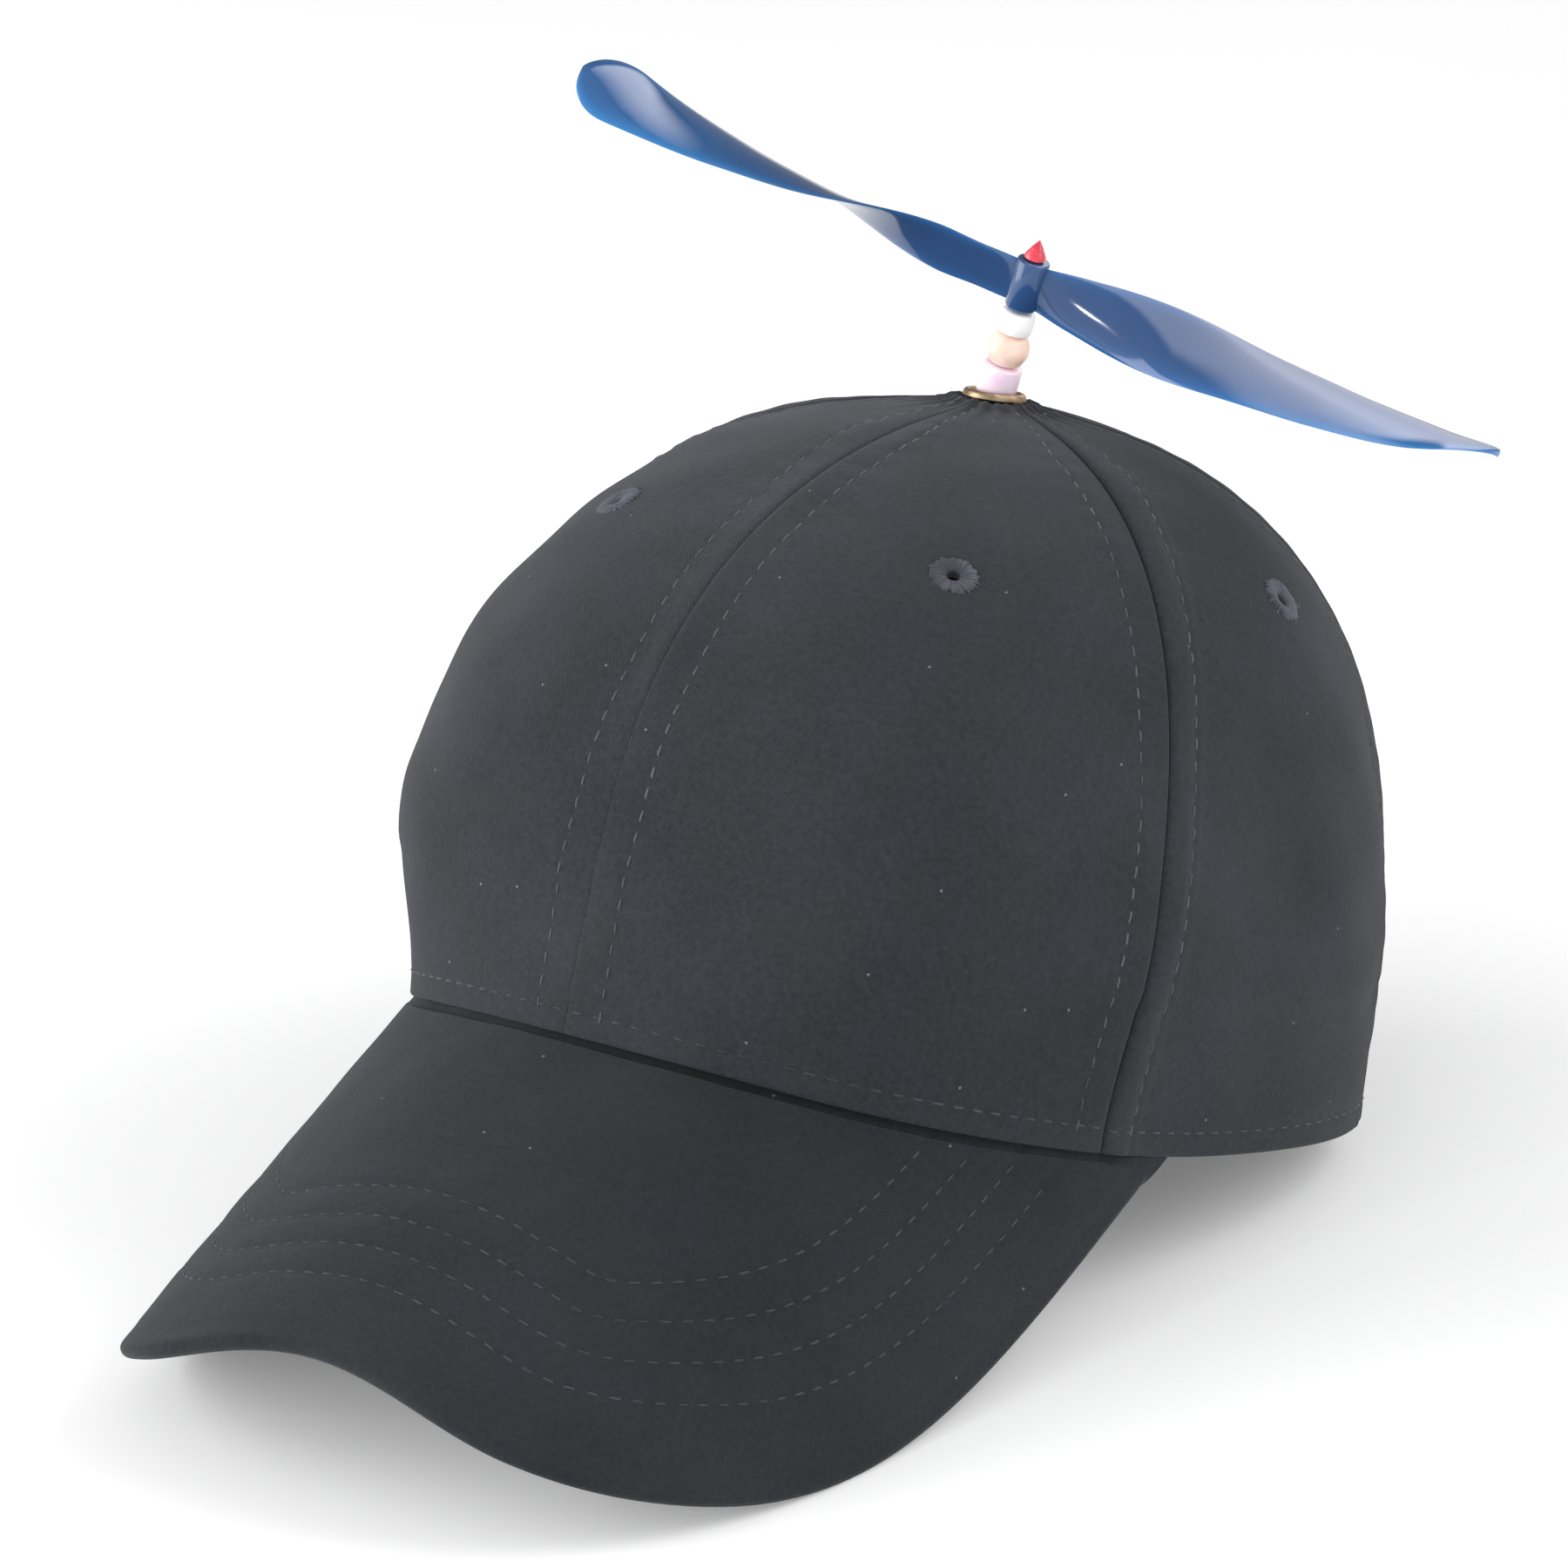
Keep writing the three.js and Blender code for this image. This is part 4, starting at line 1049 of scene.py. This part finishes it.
def make_grommet():
    """A brass ring with a rolled edge, on a barrel through the hole at the top of the crown."""
    g, roll = GROMMET, GROMMET_ROLL
    barrel = TOP_HOLE - GAP
    profile = [(g.barrel, -g.barrel_depth), (barrel, -g.barrel_depth), (barrel, 0)]
    last = math.pi - math.asin(g.floor / roll.height)
    for angle in np.linspace(0, last, roll.steps):
        radius = g.outer - roll.width / 2 * (1 - math.cos(angle))
        profile.append((radius, roll.height * math.sin(angle)))
    profile.append((g.barrel, g.floor))
    foot = STEM_FOOT - Vector(CAP_UP) * g.floor
    seat(turned("grommet", profile, "brass", sides=96), placed(foot, CAP_TURN))


def threaded_profile(length, end, middle):
    """Outside of a sleeve or bead with softly rounded ends."""
    profile = []
    for share in np.linspace(0, 1, THREADED_STEPS):
        near = min(min(share, 1 - share) * length, THREADED_EDGE) / THREADED_EDGE
        corner = THREADED_EDGE * (1 - math.sqrt(1 - (1 - near) ** 2))
        profile.append((end + (middle - end) * math.sin(math.pi * share) - corner, share * length))
    return [(PIN_HOLE, 0)] + profile + [(PIN_HOLE, length)]


def make_threaded():
    """The sleeves and the bead. The foot of the lowest one is cut to the slant of the crown."""
    along = GAP
    crown_axis = STEM_TURN.transposed() @ Vector(CAP_UP)
    for number, sizes in enumerate(THREADED):
        name, length = sizes.name, sizes.length
        piece = turned(name, threaded_profile(length, sizes.end, sizes.middle), name, sides=72)
        if number == 0:
            for vertex in piece.data.vertices:
                slant = (vertex.co.x * crown_axis.x + vertex.co.y * crown_axis.y) / crown_axis.z
                vertex.co.z -= slant * (1 - vertex.co.z / length)
        seat(piece, on_stem(along))
        along += length + GAP


def make_pin():
    p, dome = PIN, PIN_DOME
    under = p.head_top - p.head_thickness
    profile = [
        (0, under - dome.rise),
        (dome.radius, under - dome.edge),
        (p.head_radius - dome.edge, under),
        (p.head_radius, under + dome.rise),
        (p.head_radius, p.head_top),
        (PIN_RADIUS, p.head_top),
        (PIN_RADIUS, p.end),
        (0, p.end),
    ]
    seat(turned("stem_pin", profile, "steel", sides=48), on_stem(0))


def make_tip():
    """A red cone with a hollow flank and a blunt point, with a socket for the pin."""
    t, point = TIP, TIP_POINT.radius
    profile = [(0, t.socket), (PIN_HOLE, t.socket), (PIN_HOLE, 0)]
    profile += [(t.radius - t.edge, 0), (t.radius, t.edge)]
    for share in np.linspace(0, 1, TIP_POINT.steps):
        radius = t.radius + (point - t.radius) * share ** TIP_POINT.hollow
        profile.append((radius, t.skirt + (t.height - t.skirt - point) * share))
    profile += [(TIP_POINT.blunt_radius, t.height - TIP_POINT.blunt_depth), (0, t.height)]
    place = on_stem(STEM_LENGTH + HUB.height + GAP)
    seat(turned("tip_red", profile, "red", sides=64), place)


# Propeller
def blade_lines(out):
    """Half chord, twist and height of the blade's middle at shares of the half span."""
    past = np.clip((out - BLADE_TIP.start) / (1 - BLADE_TIP.start), 0, 1)
    half = table_value(BLADE_CHORD, out) / 2 * np.maximum(BLADE_TIP.least, np.sqrt(1 - past**2))
    return half, np.radians(table_value(BLADE_TWIST, out)), BLADE_FLICK.rise * out ** BLADE_FLICK.power


def make_blade(name, turn):
    """A twisted and cambered blade that starts inside the hub's wall."""
    stations, across = BLADE_GRID.stations, BLADE_GRID.across
    start = (PIN_HOLE + HUB.radius) / 2 / BLADE.half_span
    out = start + (1 - start) * np.sin(np.linspace(0, math.pi / 2, stations))
    half, twist, rise = blade_lines(out)
    way = -np.cos(np.linspace(0, math.pi, across))
    along = np.concatenate([way, way[-2:0:-1]])
    face = np.concatenate([-np.ones(across), np.ones(across - 2)])
    bulge = 1 - along**2
    bowed = np.minimum(1, out / BLADE_SECTION.bowed_from)[:, None]
    bow = BLADE.camber * 2 * half[:, None] * bulge * bowed
    edge = BLADE_SECTION.edge
    thick = face * BLADE.thickness / 2 * (edge + (1 - edge) * bulge)
    thick = thick * np.sqrt(1 - along ** BLADE_SECTION.nose)
    level = np.zeros_like(out)
    chord_way = np.stack([level, np.cos(twist), np.sin(twist)], -1)
    face_way = np.stack([level, -np.sin(twist), np.cos(twist)], -1)
    middle = np.stack([out * BLADE.half_span, level, rise + BLADE.middle], -1)
    points = middle[:, None] + chord_way[:, None] * (along * half[:, None])[..., None]
    points = points + face_way[:, None] * (bow + thick)[..., None]
    piece = new_piece(name, points, tube_faces(stations, len(along)), MATERIALS["blue"])
    piece.data.transform(Matrix.Rotation(turn, 4, "Z"))
    return piece


def make_propeller():
    """Bored hub and two twisted blades, joined."""
    wide, top = HUB.radius, HUB.height
    profile = [(PIN_HOLE, 0)] + [(wide - inset, height) for inset, height in HUB_FOOT_EDGE]
    profile += [(wide - inset, top - depth) for inset, depth in HUB_TOP_EDGE] + [(PIN_HOLE, top)]
    piece = turned("propeller", profile, "blue", sides=72)
    turn = math.radians(BLADE.turn)
    join(piece, make_blade("blade_one", turn))
    join(piece, make_blade("blade_two", turn + math.pi))
    mark_thin_light(piece, turn)
    piece.data.set_sharp_from_angle(angle=math.radians(48))
    seat(piece, placed(HUB_FOOT, STEM_TURN), "propeller")


def mark_thin_light(piece, turn):
    """Stores at each point how thin the blade is, as painted light for the plastic's colour: lighter at the thin
    edges and towards the tip, darker at the hub.
    """
    points = np.zeros(len(piece.data.vertices) * 3)
    piece.data.vertices.foreach_get("co", points)
    x, y, z = points.reshape(-1, 3).T
    along = x * math.cos(turn) + y * math.sin(turn)
    side = (y * math.cos(turn) - x * math.sin(turn)) * np.sign(along)
    out = np.clip(np.abs(along) / BLADE.half_span, 0, 1)
    half, twist, rise = blade_lines(out)
    chord = (side * np.cos(twist) + (z - BLADE.middle - rise) * np.sin(twist)) / half
    thin = THIN_LIGHT.edge * np.abs(np.clip(chord, -1, 1)) ** THIN_LIGHT.edge_power
    thin = thin + THIN_LIGHT.tip * smoothstep(out, *THIN_LIGHT.tip_zone)
    thin = np.where(np.hypot(x, y) < HUB.radius + THIN_LIGHT.hub_edge, THIN_LIGHT.hub, thin)
    layer = piece.data.attributes.new("thin", "FLOAT", "POINT")
    layer.data.foreach_set("value", np.clip(thin, 0, 1))


# Stage
LIGHTS = [
    # name, azimuth, elevation, distance, width, height, watts, whether glossy faces mirror it
    ("left", -50, 19, 1.6, 1.5, 1.3, 23, True),
    ("front", 10, 14, 1.9, 1.3, 0.9, 13, False),
    ("right", 114, 36, 1.6, 1.0, 1.2, 13, True),
    ("lamp", -5, 29, 1.5, 0.06, 0.06, 0.8, True),
]
AIM = Vector((0.0, 0.0, 0.09))
# The white surround: strength level with the floor and overhead, and how fast it dims between them
SURROUND = Sizes(level=1.3, overhead=0.42, bend=0.7)
# Where the surround is darker behind the cap, by how much, and between which cosines from that place
BEHIND = Sizes(azimuth=-150, elevation=10, darker=0.75, zone=(0.45, 0.9))
# An upright bright card behind the cap and to the right, which only glossy faces mirror, placed from the hub
CARD = Sizes(azimuth=-155, distance=0.5, left=-0.02, right=0.42, top=1.4, fade=0.05)
# Share of the card's height, and its glow there
CARD_GLOW = [(0.0, 0.4), (0.2, 1.6), (0.34, 3.4), (0.5, 3.8), (0.66, 2.7), (0.84, 1.2), (1.0, 0.0)]
# A level bright card over one blade, also only mirrored. Its place is from the hub, and its left edge slants.
CEILING = Sizes(above=0.3, x=(-0.16, 0.22), y=(-0.13, 0.42), fade=0.07, glow=3.2)
CEILING_SLANT = (-0.22, -0.048)
FLOOR_HALF = 14
# The camera: place round the cap in degrees, focal length, and where the cap's middle falls in the picture
CAMERA = Sizes(azimuth=37.13, elevation=20.96, roll=-1.62, distance=2.0546, lens=246.3, sensor=36)
LOOK_AT = (0.0, -0.02, 0.055)
LOOK_OFF_CENTRE = (0.0192, -0.002)


def from_around(azimuth, elevation):
    """Way from the cap towards a place round it, with azimuth 0 in front of the peak."""
    a, e = math.radians(azimuth), math.radians(elevation)
    return Vector((math.sin(a) * math.cos(e), -math.cos(a) * math.cos(e), math.sin(e)))


def make_lights():
    for name, azimuth, elevation, distance, width, height, watts, mirrored in LIGHTS:
        data = bpy.data.lights.new(name, "AREA")
        data.shape = "RECTANGLE"
        data.size, data.size_y, data.energy = width, height, watts
        light = bpy.data.objects.new(name, data)
        way = from_around(azimuth, elevation)
        light.location = AIM + way * distance
        light.rotation_euler = way.to_track_quat("Z", "Y").to_euler()
        light.visible_camera = False
        light.visible_glossy = mirrored
        bpy.context.scene.collection.objects.link(light)
        light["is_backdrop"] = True


def within(n, value, low, high):
    """How far a value is inside two ends."""
    return n.math("MINIMUM", n.math("SUBTRACT", value, low), n.math("SUBTRACT", high, value))


def glow_material(name):
    """A material that only gives light."""
    n = new_material(name)
    n.look(Base_Color=(0, 0, 0), Emission_Color=(1, 0.97, 1), Specular_IOR_Level=0)
    return n


def card_material(name):
    """Light that is strongest half way up the card and fades at its sides."""
    n = glow_material(name)
    _, across, up = n.uv()
    strongest = max(glow for _, glow in CARD_GLOW)
    glow = n.ramp(up, [(height, (glow / strongest,) * 3) for height, glow in CARD_GLOW])
    inward = within(n, across, CARD.left, CARD.right)
    n.look(Emission_Strength=n.math("MULTIPLY", glow, n.fade(inward, 0, CARD.fade, 0, strongest)))
    return n.owner


def ceiling_material(name):
    """Even light, on a card that is clear towards all its edges."""
    n = glow_material(name)
    _, x, y = n.uv()
    left = n.math("MULTIPLY_ADD", y, *CEILING_SLANT)
    inward = n.math("MINIMUM", within(n, x, left, CEILING.x[1]), within(n, y, *CEILING.y))
    n.look(Alpha=n.fade(inward, 0, CEILING.fade, 0, 1), Emission_Strength=CEILING.glow)
    return n.owner


def add_card(name, across, up, place, material):
    """A flat card of light that only glossy faces show. place() puts its two coordinates in the scene."""
    uv = [(across[0], up[0]), (across[1], up[0]), (across[1], up[1]), (across[0], up[1])]
    card = new_piece(name, [place(*spot) for spot in uv], [(0, 1, 2, 3)], material, uv, smooth=False)
    card.visible_camera = False
    card.visible_diffuse = False
    card.visible_shadow = False
    card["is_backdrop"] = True


def make_cards():
    way = from_around(CARD.azimuth, 0)
    aside = Vector((way.y, -way.x, 0))
    foot = Vector((HUB_FOOT.x, HUB_FOOT.y, 0)) + way * CARD.distance

    def upright(across, up):
        return foot + aside * across + UPWARD * CARD.top * up

    def level(x, y):
        return HUB_FOOT + Vector((x, y, CEILING.above))

    add_card("card", (CARD.left, CARD.right), (0, 1), upright, card_material("glow"))
    add_card("ceiling", CEILING.x, CEILING.y, level, ceiling_material("ceiling_glow"))


def make_world():
    """A white surround that is brightest level with the floor, dims overhead and is darker behind the cap."""
    n = Nodes(bpy.data.worlds.new("studio"), "Background")
    way = n.add("TexCoord").outputs["Generated"]
    up = n.math("MAXIMUM", n.add("SeparateXYZ", Vector=way).outputs["Z"], 0.0)
    dimming = SURROUND.overhead - SURROUND.level
    strength = n.total((n.math("POWER", up, SURROUND.bend), dimming), base=SURROUND.level)
    facing = n.add("VectorMath", operation="DOT_PRODUCT")
    n.put(facing.inputs[0], way)
    n.put(facing.inputs[1], from_around(BEHIND.azimuth, BEHIND.elevation))
    behind = n.fade(facing.outputs["Value"], *BEHIND.zone, 1.0, 1 - BEHIND.darker)
    n.look(Strength=n.math("MULTIPLY", strength, behind), Color=(1, 1, 1))
    bpy.context.scene.world = n.owner


def make_camera():
    c = CAMERA
    back = from_around(c.azimuth, c.elevation)
    right = from_around(c.azimuth + 90, 0)
    up = back.cross(right)
    roll = math.radians(c.roll)
    right, up = right * math.cos(roll) + up * math.sin(roll), up * math.cos(roll) - right * math.sin(roll)
    look = Vector(to_object(LOOK_AT))
    place = look - right * LOOK_OFF_CENTRE[0] - up * LOOK_OFF_CENTRE[1] + back * c.distance
    data = bpy.data.cameras.new("camera")
    data.lens, data.sensor_width = c.lens, c.sensor
    data.clip_start, data.clip_end = 0.01, 100
    camera = bpy.data.objects.new("camera", data)
    camera.matrix_world = Matrix.Translation(place) @ Matrix((right, up, back)).transposed().to_4x4()
    bpy.context.scene.collection.objects.link(camera)
    bpy.context.scene.camera = camera


def make_floor():
    wide = FLOOR_HALF
    corners = [(-wide, -wide, 0), (wide, -wide, 0), (wide, wide, 0), (-wide, wide, 0)]
    new_piece("floor", corners, [(0, 1, 2, 3)], floor_material("pale_floor"), smooth=False)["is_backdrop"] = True


seam_stitches, hem_stitches = Stitches(), Stitches()
for number, (place, start, end, eyelet) in enumerate(PANELS):
    panel = Panel(place, start, end)
    eyelet_matrix = eyelet_place(eyelet)
    panel.make(eyelet_matrix)
    panel.sew(seam_stitches, hem_stitches, SEEDS.seams + 10 * number)
    make_eyelet("eyelet_" + place, eyelet_matrix, SEEDS.eyelets + number)
seam_stitches.make("stitches_seams", "thread")
hem_stitches.make("stitches_hem", "hem_thread")

peak = Peak()
peak.make()
upper_stitches, lower_stitches = Stitches(), Stitches()
peak.sew(upper_stitches, lower_stitches)
upper_stitches.make("stitches_peak_top", "hidden_thread")
lower_stitches.make("stitches_peak_under", "hidden_thread")

make_sweatband()
make_grommet()
make_threaded()
make_pin()
make_tip()
make_propeller()
make_floor()
make_lights()
make_cards()
make_world()
make_camera()
bpy.context.scene.view_settings.view_transform = "Standard"

sizes = {"cad": cad_box, "visual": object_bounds()}
sizes = {name: [[float(v) for v in corner] for corner in box] for name, box in sizes.items()}
